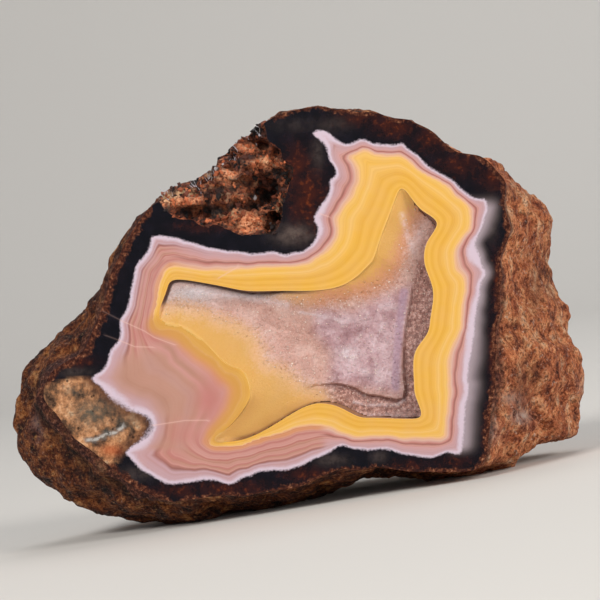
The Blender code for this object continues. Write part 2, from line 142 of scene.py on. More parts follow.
# Where the pocket's amber slope gives way to the pink and lilac druse.
SLOPE_FOOT = (
    (-20.0, 29.4), (-17.0, 29.1), (-13.5, 28.4), (-10.9, 27.1), (-8.6, 26.4), (-6.9, 25.1),
    (-6.0, 23.4), (-5.3, 21.6), (-4.0, 20.9), (-2.3, 20.1), (-0.3, 18.4), (1.8, 17.6),
    (3.5, 16.9), (6.5, 15.2), (9.0, 14.0), (17.0, 12.0), (22.0, 30.0), (20.0, 44.0),
    (16.0, 42.0), (14.9, 41.0), (14.0, 38.5), (12.9, 34.9), (10.5, 32.4), (6.8, 30.9),
    (1.8, 30.3), (-2.0, 31.0), (-6.0, 33.0), (-20.0, 36.0),
)

# The druse's raised plate, which ends at its lower and right edges.
PLATE = (
    (-25.0, 40.0), (16.5, 40.0), (15.4, 35.0), (14.9, 32.4), (14.6, 30.2), (14.0, 27.6),
    (13.6, 24.4), (13.5, 21.0), (13.5, 16.9), (10.3, 17.2), (8.4, 17.5), (6.9, 18.3),
    (4.6, 18.9), (2.2, 18.8), (0.4, 18.4), (-1.6, 17.6), (-5.0, 15.0), (-25.0, 15.0),
)

# The plate's purple part.
PURPLE = (
    (1.8, 29.0), (6.8, 28.5), (10.6, 30.2), (14.5, 31.8), (13.9, 27.0), (13.0, 22.0),
    (13.2, 17.3), (7.0, 18.6), (3.4, 19.0), (3.8, 23.0), (1.4, 26.0),
)
PURPLE_STRIP = ((13.7, 31.0), (13.0, 26.5), (12.6, 22.0), (12.5, 18.4))

# Parts of the pocket's rim from which its floor runs down gently, and how steeply.
RAMPS = (
    (((-17.5, 27.3), (-12.6, 24.3), (-9.4, 22.0), (-7.5, 20.0), (-7.2, 18.2), (-8.0, 15.8),
      (-11.2, 12.0)), 0.34),
    (((-1.0, 31.4), (5.9, 33.2), (8.2, 35.2), (9.5, 36.9), (11.5, 41.0), (13.3, 45.2)), 0.42),
)

# Pale ridges on the druse: line, half width, height, paleness.
RIDGES = (
    (((-14.7, 31.4), (-7.4, 30.5), (-2.0, 29.5)), 0.45, 0.1, 0.5),
    (((-0.3, 28.5), (1.8, 28.1), (3.7, 27.7), (5.8, 26.9)), 0.24, 0.12, 0.55),
    (((6.8, 16.4), (8.4, 16.0), (12.7, 15.9), (13.5, 16.6)), 0.24, 0.16, 0.45),
    (((13.7, 41.2), (14.3, 38.6), (15.1, 36.4)), 0.35, 0.14, 0.45),
    (((8.8, 28.2), (8.0, 25.6), (6.6, 24.0)), 0.2, 0.06, 0.35),
    (((10.6, 26.4), (9.4, 23.6), (9.8, 21.4)), 0.2, 0.06, 0.35),
)

# Where the yellow bands turn to soft orange amber.
SOFT_LINE = (
    (-19.8, 27.0), (-16.5, 25.8), (-12.0, 22.8), (-9.4, 20.6), (-8.0, 18.2), (-8.8, 15.0),
    (-11.4, 12.0),
)

# The tan inclusion at the lower left.
INCLUSION = (
    (-36.0, 15.8), (-36.0, 18.6), (-33.9, 19.4), (-31.7, 19.9), (-30.0, 20.1), (-28.7, 19.9),
    (-27.0, 18.5), (-24.0, 16.2), (-21.4, 14.9), (-20.4, 13.6), (-21.8, 11.6), (-24.0, 9.9),
    (-24.9, 8.6), (-26.5, 8.4), (-28.4, 9.6), (-30.4, 10.9), (-32.3, 13.4), (-34.4, 15.6),
)

# The inclusion's glassy vein.
VEINS = (((-29.4, 11.6), (-28.0, 11.7), (-26.8, 12.3), (-25.4, 12.6), (-24.2, 13.4)),)

# Pits in the rind: u, w, v, width, depth.
RIND_PITS = (
    (28.7, 14.0, 14.5, 1.8, 1.3), (32.0, 12.0, 34.0, 2.2, 0.9), (30.0, 9.0, 25.0, 1.6, 0.7),
)

# Pale hairline cracks.
CRACKS = (
    ((-27.0, 28.9), (-24.7, 27.7), (-21.4, 26.2), (-20.0, 25.3), (-17.0, 24.2)),
    ((-26.8, 25.7), (-24.9, 25.0), (-22.7, 24.1), (-20.0, 24.0)),
    ((-20.0, 13.5), (-15.7, 14.1), (-12.6, 14.1)),
    ((-11.1, 33.2), (-10.0, 33.8), (-8.5, 34.6)),
    ((3.0, 41.4), (4.2, 41.0)),
)

# Soft patches, by the names that the shaders read: u, v, half width, half height, strength.
PATCHES = {
    # On the dark rim.
    "grey": (
        (-1.0, 38.8, 2.4, 1.2, 1.0), (4.4, 53.4, 2.2, 1.0, 0.3), (-0.6, 53.6, 3.4, 0.9, 0.2),
        (25.8, 40.2, 0.8, 2.4, 0.4), (-22.4, 7.0, 2.2, 0.9, 0.4), (-31.2, 20.8, 2.4, 0.6, 0.4),
        (4.4, 8.6, 2.0, 0.8, 0.5), (10.6, 9.0, 1.0, 0.7, 0.5), (2.4, 49.6, 0.8, 2.0, 0.4),
    ),
    "maroon": (
        (1.0, 43.6, 2.2, 3.8, 1.0), (-0.4, 47.8, 1.8, 2.8, 0.9), (13.0, 53.0, 2.6, 1.3, 1.0),
        (18.4, 51.2, 2.4, 1.6, 0.9), (21.6, 47.6, 3.0, 1.6, 0.6), (26.2, 46.0, 2.0, 1.6, 0.9),
        (8.4, 54.2, 3.2, 0.9, 0.8), (26.6, 32.6, 0.9, 3.0, 0.8), (26.2, 22.0, 0.8, 5.0, 0.9),
        (25.4, 12.0, 0.8, 3.0, 0.9), (-9.4, 5.0, 5.0, 1.0, 0.7), (-17.0, 4.6, 3.4, 0.8, 0.7),
        (1.0, 6.8, 3.0, 0.9, 0.7), (-13.4, 40.2, 3.2, 0.8, 0.5), (-25.4, 38.0, 1.0, 2.6, 0.6),
        (-31.4, 22.2, 2.6, 0.7, 0.9), (14.4, 7.8, 2.2, 0.8, 0.7), (20.6, 8.2, 2.4, 0.8, 0.6),
    ),
    # On the bands: deeper pink, and where the white edge frays.
    "rose": (
        (-12.4, 16.8, 1.9, 3.2, 0.95), (-15.4, 12.4, 2.8, 1.8, 0.6), (-17.9, 9.4, 3.2, 1.2, 0.4),
        (-21.0, 25.7, 2.6, 1.2, 0.6), (-15.6, 23.4, 2.2, 1.0, 0.2),
    ),
    "fuzz": (
        (-24.6, 16.6, 3.0, 2.4, 1.0), (-21.0, 13.2, 2.0, 2.4, 1.0),
    ),
    # On the inclusion: its greyish middle, and a rusty spot.
    "murky": (
        (-28.8, 15.2, 2.6, 1.8, 1.0), (-26.0, 16.4, 2.2, 1.4, 0.9), (-23.6, 14.2, 2.2, 1.0, 0.7),
        (-26.2, 12.6, 1.4, 0.8, 0.6), (-31.6, 18.2, 1.4, 0.8, 0.6),
    ),
    "rust": ((-26.0, 10.2, 1.3, 0.7, 0.6),),
    # In the hollow: raised lumps with a painted highlight, holes in black painted shade, pale
    # spots.
    "lump": (
        (-7.3, 40.7, 2.1, 1.4, 1.0), (-10.2, 47.0, 1.6, 1.3, 0.8), (-5.2, 48.8, 2.0, 0.8, 1.0),
        (-7.2, 50.8, 1.3, 0.8, 1.0), (-17.4, 43.7, 2.0, 0.7, 1.0), (-14.6, 43.7, 0.9, 0.7, 0.9),
        (-9.6, 44.2, 2.0, 0.8, 0.6), (-12.8, 46.0, 1.0, 0.7, 0.6),
    ),
    "hole": (
        (-7.4, 43.1, 1.0, 0.7, 1.0), (-5.9, 44.6, 1.1, 1.1, 1.0), (-4.5, 45.9, 0.9, 0.9, 1.0),
        (-4.1, 41.2, 0.8, 1.1, 1.0), (-5.9, 51.3, 1.4, 0.6, 0.9), (-12.6, 42.6, 1.7, 0.8, 0.9),
        (-16.2, 42.4, 1.8, 0.5, 0.9), (-8.0, 46.1, 1.8, 0.6, 0.7), (-3.4, 47.2, 0.8, 0.7, 0.8),
    ),
    "cream": (
        (-18.6, 44.4, 1.4, 0.7, 1.0), (-16.2, 45.0, 1.6, 0.6, 1.0), (-12.4, 47.6, 1.6, 0.7, 0.6),
        (-3.4, 42.4, 0.6, 1.6, 0.6), (-10.4, 42.0, 1.6, 0.5, 0.6),
    ),
    # On the rind: bluish grey, chalky and dark spots.
    "slate": (
        (-37.6, 14.0, 1.2, 2.4, 0.5), (-33.0, 19.6, 1.6, 0.9, 0.5),
    ),
    "chalk": (
        (28.9, 14.4, 0.9, 0.9, 0.9), (25.6, 12.4, 0.8, 1.3, 0.6), (36.4, 18.6, 1.0, 2.0, 0.7),
        (28.0, 16.6, 1.2, 0.8, 0.5),
    ),
    "streak": (
        (30.2, 32.0, 0.9, 5.0, 0.75), (29.0, 18.0, 0.7, 2.4, 0.6), (27.6, 44.0, 1.6, 1.2, 0.5),
    ),
}

# More patches: haze beside the white edge, white on the druse, and ash at its upper left.
HAZE_PATCHES = (
    (-25.0, 17.6, 2.6, 1.8, 1.0), (-21.6, 14.6, 2.0, 1.8, 1.0), (-21.4, 10.6, 1.8, 1.6, 0.7),
    (23.1, 35.7, 1.2, 1.5, 1.5), (2.8, 42.4, 1.8, 5.0, 0.6), (2.4, 51.6, 2.4, 1.2, 0.5),
    (22.8, 24.0, 1.4, 8.0, 0.9), (22.0, 14.0, 1.4, 4.0, 0.8),
)
WHITE_PATCHES = (
    (6.0, 22.8, 1.8, 1.0, 0.8), (5.5, 27.4, 3.6, 0.5, 0.3), (11.0, 24.0, 1.4, 3.6, 0.2),
    (8.6, 20.4, 1.2, 0.7, 0.4), (15.6, 38.6, 0.7, 1.6, 0.3), (10.5, 14.4, 5.0, 0.7, 0.35),
    (10.2, 20.0, 0.7, 1.6, 0.4), (11.6, 29.0, 1.6, 0.5, 0.4),
)
ASH_PATCHES = ((-15.0, 31.2, 4.6, 1.5, 0.95), (-6.0, 31.0, 7.0, 0.7, 0.75))

# Where tufts of fibres stand on the hollow's upper edge: u, v, w.
TUFTS = (
    (-6.2, 52.4, 2.0), (-8.6, 50.6, 2.4), (-9.6, 49.6, 2.6), (-12.6, 46.9, 2.4),
    (-14.8, 46.2, 2.0), (-18.6, 44.6, 1.6),
)


def srgb(red, green, blue):
    """A colour's eight-bit values as the linear ones that a shader takes."""
    linear = [c / 12.92 if c <= 0.04045 else ((c + 0.055) / 1.055) ** 2.4
              for c in (red / 255, green / 255, blue / 255)]
    return (*linear, 1.0)


def find_stance():
    """Turns the frame of the cut face, in metres, to the stone as it stands."""
    turn = Matrix.Rotation(math.radians(-LEAN_BACK), 4, "X") @ Matrix.Rotation(
        math.radians(ROLL_TO_REST), 4, "Y"
    )
    mount = next(m for m in frame["record"]["mounts"] if m["name"] == "cut_face")
    u, v = MOUNT_ON_FACE
    home = Vector(mount["pos_m"]) - turn @ Vector((u * MM, 0.0, v * MM))
    return Matrix.Translation(home) @ turn


STANCE = find_stance()


def ease(low, high, x):
    """Runs smoothly from 0 to 1 as x goes from low to high."""
    t = np.clip((x - low) / (high - low), 0.0, 1.0)
    return t * t * (3.0 - 2.0 * t)


def round_curve(points, steps=3):
    """A closed Catmull-Rom curve through the points."""
    p = np.array(points, float)
    before, after, beyond = np.roll(p, 1, 0), np.roll(p, -1, 0), np.roll(p, -2, 0)
    out = []
    for k in range(steps):
        t = k / steps
        out.append(
            0.5 * (2 * p + (after - before) * t
                   + (2 * before - 5 * p + 4 * after - beyond) * t**2
                   + (3 * p - before - 3 * after + beyond) * t**3)
        )
    return np.stack(out, 1).reshape(-1, 2)


def distance_to(points, line, closed=True):
    """Distance from each point to the line; for a closed line it is positive inside."""
    a = np.array(line, float)
    b = np.roll(a, -1, 0)
    if not closed:
        a, b = a[:-1], b[:-1]
    ab = b - a
    slope = ab[:, 0] / np.where(ab[:, 1] == 0, 1e-9, ab[:, 1])
    out = np.empty(len(points))
    for start in range(0, len(points), 3000):
        p = points[start:start + 3000, None, :]
        t = np.clip(((p - a) * ab).sum(2) / (ab * ab).sum(1), 0.0, 1.0)
        near = np.sqrt((((p - a) - t[..., None] * ab) ** 2).sum(2)).min(1)
        crosses = (a[:, 1] > p[..., 1]) != (b[:, 1] > p[..., 1])
        left = p[..., 0] < a[:, 0] + (p[..., 1] - a[:, 1]) * slope
        inside = (crosses & left).sum(1) % 2 == 1
        out[start:start + 3000] = near if not closed else np.where(inside, near, -near)
    return out


def away_from(points, *lines):
    """Distance from each point to the nearest of these open lines."""
    return np.min([distance_to(points, line, closed=False) for line in lines], 0)


def patches(points, spots):
    """How strongly soft patches cover each point, from 0 to 1."""
    cover = np.zeros(len(points))
    for u, v, wide, high, strength in spots:
        away = ((points[:, 0] - u) / wide) ** 2 + ((points[:, 1] - v) / high) ** 2
        cover = np.maximum(cover, strength * np.exp(-away))
    return cover


def wobbled(points, reach=0.2, size=1.7):
    """The points moved a little this way and that, as natural bands waver."""
    moved = points.copy()
    for k, (u, v) in enumerate(points):
        shift = noise.noise_vector(Vector((u / size, v / size, 4.0)))
        fine = noise.noise_vector(Vector((u / 0.8, v / 0.8, 9.0)))
        moved[k] += reach * np.array(shift.xy) + 0.3 * reach * np.array(fine.xy)
    return moved


class Shader:
    """A material's node tree, with one short method for each kind of node.

    A value is a number, a colour in eight-bit steps, a node's output or an attribute's name.
    """

    def __init__(self, name):
        self.material = bpy.data.materials.new(name)
        self.material.use_nodes = True
        self.tree = self.material.node_tree
        self.surface = self.tree.nodes["Principled BSDF"]
        place = self.node("ShaderNodeAttribute", attribute_name="place")
        self.place = place.outputs["Vector"]  # in the frame of the cut face, in millimetres

    def put(self, value, socket):
        if isinstance(value, str):
            value = self.attribute(value)
        if isinstance(value, bpy.types.NodeSocket):
            self.tree.links.new(value, socket)
        else:
            socket.default_value = srgb(*value) if isinstance(value, tuple) else value

    def node(self, kind, **settings):
        made = self.tree.nodes.new(kind)
        for name, value in settings.items():
            setattr(made, name, value)
        return made

    def attribute(self, name):
        return self.node("ShaderNodeAttribute", attribute_name=name).outputs["Fac"]

    def math(self, operation, a, b=0.0, clamp=False):
        made = self.node("ShaderNodeMath", operation=operation, use_clamp=clamp)
        self.put(a, made.inputs[0])
        self.put(b, made.inputs[1])
        return made.outputs[0]

    times = partialmethod(math, "MULTIPLY")
    plus = partialmethod(math, "ADD")
    minus = partialmethod(math, "SUBTRACT")

    def swing(self, value, reach):
        """A number round 0.5, as one that swings round 0."""
        return self.times(self.minus(value, 0.5), reach)

    def step(self, value, low, high, start=0.0, end=1.0):
        """Runs smoothly from start to end as the value goes from low to high."""
        made = self.node("ShaderNodeMapRange", interpolation_type="SMOOTHSTEP")
        for socket, number in zip(made.inputs[:5], (value, low, high, start, end)):
            self.put(number, socket)
        return made.outputs[0]

    def noise(self, scale, detail=3.0, roughness=0.55):
        made = self.node("ShaderNodeTexNoise")
        self.put(self.place, made.inputs["Vector"])
        for name, value in (("Scale", scale), ("Detail", detail), ("Roughness", roughness)):
            made.inputs[name].default_value = value
        return made.outputs[0]

    def lines(self, along, scale, detail=2.0):
        """Noise of one number: lines that follow whatever the number follows."""
        made = self.node("ShaderNodeTexNoise", noise_dimensions="1D")
        self.put(along, made.inputs["W"])
        made.inputs["Scale"].default_value = scale
        made.inputs["Detail"].default_value = detail
        return made.outputs[0]

    def cells(self, scale):
        """Distance to the nearest of many scattered points."""
        made = self.node("ShaderNodeTexVoronoi")
        self.put(self.place, made.inputs["Vector"])
        made.inputs["Scale"].default_value = scale
        return made.outputs["Distance"]

    def mix(self, factor, a, b, blend="MIX"):
        made = self.node("ShaderNodeMix", data_type="RGBA", blend_type=blend)
        self.put(factor, made.inputs[0])
        self.put(a, made.inputs[6])
        self.put(b, made.inputs[7])
        return made.outputs[2]

    def ramp(self, value, stops):
        """Colours along a number from 0 to 1; stops are (number, colour)."""
        made = self.node("ShaderNodeValToRGB")
        self.put(value, made.inputs[0])
        points = made.color_ramp.elements
        while len(points) < len(stops):
            points.new(0.5)
        for point, (number, colour) in zip(points, stops):
            point.position = number
            point.color = srgb(*colour)
        return made.outputs[0]

    def bump(self, height, depth, strength=1.0):
        """Bumps of that depth in millimetres."""
        made = self.node("ShaderNodeBump")
        self.put(height, made.inputs["Height"])
        made.inputs["Strength"].default_value = strength
        made.inputs["Distance"].default_value = depth * MM
        self.put(made.outputs[0], self.surface.inputs["Normal"])

    def scatter(self, weight, radius, depth):
        """Light that spreads under the surface, to that depth in millimetres."""
        for name, value in (("Weight", weight), ("Radius", radius), ("Scale", depth * MM)):
            self.surface.inputs["Subsurface " + name].default_value = value

    def finish(self, colour, roughness, specular=0.5):
        self.put(colour, self.surface.inputs["Base Color"])
        self.put(roughness, self.surface.inputs["Roughness"])
        self.surface.inputs["Specular IOR Level"].default_value = specular
        return self.material


WHITE = (208, 190, 203)
LAVENDER = (190, 156, 162)
LILAC_PINK = (198, 154, 154)
PINK = (198, 146, 138)
PALE_PINK = (210, 170, 158)
ROSE = (182, 119, 111)
BROWN_ROSE = (146, 94, 86)
TAN = (184, 138, 121)
DULL_TAN = (178, 133, 115)
MAUVE_TAN = (185, 142, 131)
ORANGE_TAN = (206, 144, 104)
PEACH = (228, 182, 138)
PALE_YELLOW = (232, 188, 108)
YELLOW = (229, 179, 82)
DEEP_YELLOW = (222, 168, 66)
AMBER = (212, 154, 78)
# Painted highlight: the pale line along the pocket's rounded rim.
PAINTED_RIM_HIGHLIGHT = (236, 190, 104)
INK = (11, 10, 17)
MAROON = (62, 24, 14)
SMOKE = (98, 84, 78)


def yellow_stops():
    """Yellow bands from 0.5 at their outer edge to 1 at the pocket's rim, its painted highlight.
    """
    return [
        (0.5, PEACH), (0.53, PALE_YELLOW), (0.6, YELLOW), (0.64, PALE_YELLOW), (0.7, YELLOW),
        (0.77, DEEP_YELLOW), (0.81, YELLOW), (0.88, DEEP_YELLOW), (0.93, YELLOW),
        (0.975, DEEP_YELLOW), (1.0, PAINTED_RIM_HIGHLIGHT),
    ]


def narrow_stops():
    """Lavender to peach where the bands are squeezed together."""
    return [
        (0.0, LAVENDER), (0.14, LAVENDER), (0.24, LILAC_PINK), (0.29, PINK), (0.325, BROWN_ROSE),
        (0.35, ROSE), (0.38, PINK), (0.42, PALE_PINK), *yellow_stops(),
    ]


def middle_stops():
    """The bands of the left column and the lower edge, with thin lines."""
    return [
        (0.0, LAVENDER), (0.11, LAVENDER), (0.135, BROWN_ROSE), (0.155, PINK), (0.18, TAN),
        (0.2, ROSE), (0.215, PINK), (0.27, TAN), (0.295, ROSE), (0.31, PINK), (0.35, PINK),
        (0.385, ROSE), (0.4, PINK), (0.44, ORANGE_TAN), (0.47, ORANGE_TAN), *yellow_stops(),
    ]


def wide_stops():
    """The broad area at the left, where the bands spread out and blur."""
    return [
        (0.0, LAVENDER), (0.05, LAVENDER), (0.1, MAUVE_TAN), (0.14, DULL_TAN), (0.18, TAN),
        (0.22, TAN), (0.26, MAUVE_TAN), (0.31, TAN), (0.335, PINK), (0.36, DULL_TAN),
        (0.4, PINK), (0.44, ORANGE_TAN), (0.48, AMBER), *yellow_stops(),
    ]


def banded_part(s):
    """The colours inside the white edge."""
    gap = s.attribute("gap")
    along = s.times(s.minus("band", 1.0), 0.5, clamp=True)
    narrow = s.ramp(along, narrow_stops())
    middle = s.ramp(along, middle_stops())
    wide = s.ramp(along, wide_stops())
    bands = s.mix(s.step(gap, 2.9, 4.4), narrow, middle)
    bands = s.mix(s.step(gap, 6.0, 10.0), bands, wide)
    fine = s.step(s.lines(along, 52.0, 3.0), 0.42, 0.7)
    subtle = s.times(s.step(gap, 5.0, 9.0, 0.45, 0.12), s.step(along, 0.48, 0.54, 1.0, 0.5))
    bands = s.mix(s.times(fine, subtle), bands, (228, 200, 184), "MULTIPLY")
    bands = s.mix("rose", bands, (188, 122, 116))
    cloudy = s.step(s.noise(0.25, 3.0), 0.3, 0.75, 0.0, 0.12)
    bands = s.mix(cloudy, bands, PALE_PINK)
    thick = s.plus("frost", s.swing(s.noise(2.6, 4.0, 0.7), 0.7))
    bands = s.mix(s.step(thick, 0.45, 1.35, 1.0, 0.0), bands, WHITE)
    return s.mix("blush", bands, (203, 150, 76))


def dark_part(s, fray):
    """The rim outside the white edge: ink, maroon and smoke, with a thin crust at its edge."""
    murk = s.noise(0.55, 4.0, 0.6)
    dark = s.mix(s.step(murk, 0.4, 0.75, 0.0, 0.3), INK, (34, 29, 42))
    maroon = s.times("maroon", s.step(murk, 0.35, 0.6, 0.3, 1.0))
    dark = s.mix(maroon, dark, MAROON)
    ember = s.times(maroon, s.step(s.noise(1.3, 5.0, 0.65), 0.5, 0.68))
    dark = s.mix(ember, dark, (112, 50, 22))
    veil = s.step(s.noise(0.8, 5.0, 0.65), 0.3, 0.66, 0.25, 1.0)
    dark = s.mix(s.times("grey", veil), dark, SMOKE)
    dark = s.mix("haze", dark, s.mix("haze", SMOKE, (176, 160, 168)))
    crust = s.ramp(s.noise(1.9, 5.0, 0.7), [
        (0.32, (18, 8, 8)), (0.48, (62, 30, 22)), (0.58, (108, 62, 42)),
        (0.7, (176, 128, 96))])
    edge = s.plus("rim", s.swing(s.noise(0.5, 4.0, 0.65), 2.6))
    edge = s.plus(edge, s.times(fray, 0.7))
    return s.mix(s.step(edge, 0.1, 0.5, 1.0, 0.0), dark, crust)


def inclusion_part(s):
    """Mottled tan and grey stone with black dots, a glassy vein and a rusty spot."""
    stain = s.noise(0.42, 5.0, 0.68)
    colour = s.ramp(stain, [
        (0.36, (44, 31, 25)), (0.43, (104, 76, 56)), (0.5, (164, 114, 78)),
        (0.57, (204, 150, 108)), (0.66, (220, 188, 152))])
    fleck = s.noise(1.6, 4.0, 0.7)
    colour = s.mix(s.step(fleck, 0.36, 0.5, 0.55, 0.0), colour, (92, 68, 54))
    murky = s.times("murky", s.step(fleck, 0.7, 0.4, 0.45, 1.0))
    colour = s.mix(murky, colour, (86, 82, 72))
    colour = s.mix("scorched", colour, (84, 52, 38))
    specks = s.step(s.cells(0.7), 0.08, 0.18, 0.8, 0.0)
    colour = s.mix(specks, colour, (34, 22, 18))
    colour = s.mix("rust", colour, (186, 84, 40))
    colour = s.mix("vein_edge", colour, (40, 34, 34))
    broken = s.step(s.noise(1.5, 4.0, 0.7), 0.36, 0.56, 0.15, 1.0)
    return s.mix(s.times("vein", broken), colour, (196, 192, 186))


def polished_face():
    """The cut face: bands inside the white edge, and the dark rim outside it."""
    s = Shader("polished_face")
    fray = s.minus(s.noise(3.0, 5.0, 0.7), 0.5)
    bands = banded_part(s)
    dark = dark_part(s, fray)
    dark = s.mix("inclusion", dark, inclusion_part(s))
    fuzz = s.attribute("fuzz")
    fray = s.times(fray, s.step(fuzz, 0.0, 1.0, 0.8, 1.7))
    edge = s.times(s.plus("white", fray), s.step(fuzz, 0.0, 1.0, 1.0, 0.3))
    colour = s.mix(s.step(edge, -0.16, 0.22), dark, bands)
    colour = s.mix("crack", colour, (228, 188, 176))
    s.scatter(0.12, (1.0, 0.5, 0.35), 0.5)
    return s.finish(colour, 0.13, 0.36)


def pocket_colours(s):
    """Amber slopes that give way to pink druse, greyer at the left and purple at the right."""
    cloud = s.noise(0.4, 4.0, 0.62)
    grain = s.noise(3.6, 3.0, 0.7)
    pink = s.ramp(cloud, [
        (0.28, (188, 144, 132)), (0.5, (208, 164, 152)), (0.72, (222, 186, 176))])
    purple = s.ramp(cloud, [
        (0.3, (148, 108, 114)), (0.46, (184, 145, 150)), (0.66, (212, 180, 186))])
    druse = s.mix(s.step("purple", -1.2, 1.2), pink, purple)
    druse = s.mix("strip", druse, (176, 144, 162))
    druse = s.mix("ash", druse, (192, 180, 182))
    amber = s.ramp(s.math("DIVIDE", "into", 6.0), [
        (0.0, (222, 174, 92)), (0.05, (212, 161, 82)), (0.5, (206, 158, 86)),
        (1.0, (204, 160, 106))])
    # Painted shade: the low slope by the pocket's lower rim is darkened.
    amber = s.mix("dusk", amber, (182, 130, 72))
    foot = s.plus("lilac", s.swing(grain, 3.0))
    foot = s.plus(foot, s.swing(cloud, 2.0))
    between = s.mix("warm", (214, 168, 124), (204, 142, 104))
    colour = s.mix(s.step(foot, -1.8, 0.4), amber, between)
    colour = s.mix(s.step(foot, -0.2, 2.2), colour, druse)
    # Painted shadow: a brown line along the pocket's lower rim, and a darker one under its upper
    # left rim.
    colour = s.mix("lower", colour, (124, 78, 50))
    colour = s.mix("upper", colour, (64, 38, 26))
    shade = s.ramp(grain, [(0.3, (226, 214, 210)), (0.6, (255, 255, 255))])
    grainy = s.step("lilac", -0.8, 1.0, 0.1, 0.8)
    return s.mix(grainy, colour, shade, "MULTIPLY")


def pocket_wall():
    """The pocket's amber slopes."""
    s = Shader("pocket_wall")
    colour = pocket_colours(s)
    wall = s.step("shaded", 0.0, 1.0, 0.0, 0.8)
    colour = s.mix(wall, colour, (96, 58, 40))
    s.bump(s.noise(3.0, 4.0, 0.6), 0.12, 0.5)
    s.scatter(0.2, (1.0, 0.55, 0.25), 0.8)
    return s.finish(colour, 0.34)


def druse_sparkle():
    """Small quartz crystals over the pocket's colours, browner beside the plate."""
    s = Shader("druse_sparkle")
    colour = pocket_colours(s)
    # Brown druse beside the plate, partly its own colour and partly painted shade.
    moat = s.ramp(s.noise(2.6, 3.0, 0.7), [
        (0.34, (106, 62, 54)), (0.48, (152, 104, 94)), (0.6, (204, 156, 144)),
        (0.72, (228, 196, 190))])
    colour = s.mix("moat", colour, moat)
    # Painted shadow under the plate's raised edge.
    colour = s.mix("crease", colour, (96, 54, 50))
    patchy = s.step(s.noise(1.4, 4.0, 0.7), 0.36, 0.58, 0.3, 1.0)
    colour = s.mix(s.times("pale", patchy), colour, (226, 208, 212))
    colour = s.mix("tint", colour, (126, 84, 82))
    colour = s.mix("glint", colour, (244, 220, 206))
    s.bump(s.noise(4.0, 3.0, 0.7), 0.1, 0.7)
    s.scatter(0.25, (1.0, 0.6, 0.5), 0.4)
    return s.finish(colour, 0.34, 0.45)


def weathered_rind():
    """The nodule's skin: orange brown on the right, dark brown and ochre elsewhere."""
    s = Shader("weathered_rind")
    broad = s.noise(0.09, 4.0, 0.6)
    medium = s.noise(0.45, 5.0, 0.68)
    grain = s.noise(2.3, 5.0, 0.72)
    orange = s.ramp(medium, [
        (0.27, (70, 30, 18)), (0.38, (148, 74, 44)), (0.48, (208, 122, 76)),
        (0.57, (230, 158, 108)), (0.69, (240, 202, 168))])
    brown = s.ramp(medium, [
        (0.3, (14, 7, 6)), (0.41, (66, 28, 16)), (0.5, (112, 56, 28)),
        (0.59, (166, 98, 48)), (0.7, (210, 158, 104))])
    side = s.plus("orange", s.swing(broad, 3.4))
    side = s.plus(side, s.swing(medium, 0.7))
    colour = s.mix(s.step(side, 0.1, 0.9), brown, orange)
    pits = s.step(s.cells(0.85), 0.08, 0.3, 0.8, 0.0)
    colour = s.mix(s.times(pits, s.step(grain, 0.35, 0.6)), colour, (30, 14, 10))
    speck = s.step(s.noise(1.7, 3.0, 0.5), 0.62, 0.7)
    speck = s.times(speck, s.step(side, 0.2, 0.9, 0.2, 0.65))
    colour = s.mix(speck, colour, (228, 200, 182))
    colour = s.mix(s.step(grain, 0.38, 0.54, 0.75, 0.0), colour, (96, 60, 50), "MULTIPLY")
    colour = s.mix(s.step(grain, 0.55, 0.68, 0.0, 0.65), colour,
                   s.mix("orange", (206, 148, 84), (238, 174, 128)))
    colour = s.mix(s.times("slate", s.step(medium, 0.4, 0.6)), colour, (112, 112, 124))
    colour = s.mix(s.times("chalk", s.step(medium, 0.3, 0.55)), colour, (206, 188, 178))
    bruised = s.ramp(grain, [
        (0.36, (22, 9, 9)), (0.52, (68, 30, 25)), (0.62, (124, 72, 56)),
        (0.72, (190, 142, 120))])
    colour = s.mix(s.times("streak", s.step(medium, 0.3, 0.6, 1.0, 0.5)), colour, (64, 36, 30))
    drifts = s.step(s.noise(0.2, 3.0, 0.6), 0.36, 0.54, 0.6, 0.0)
    colour = s.mix(drifts, colour, (188, 152, 140), "MULTIPLY")
    colour = s.mix("bruise", colour, bruised)
    # Painted shade: the groove by the lower left edge is painted near black.
    colour = s.mix("groove", colour, (16, 9, 8))
    height = s.plus(medium, s.times(grain, 0.6))
    height = s.minus(height, s.times(pits, 0.4))
    s.bump(height, 1.0, 1.0)
    return s.finish(colour, s.step(grain, 0.3, 0.7, 0.9, 0.5), 0.3)


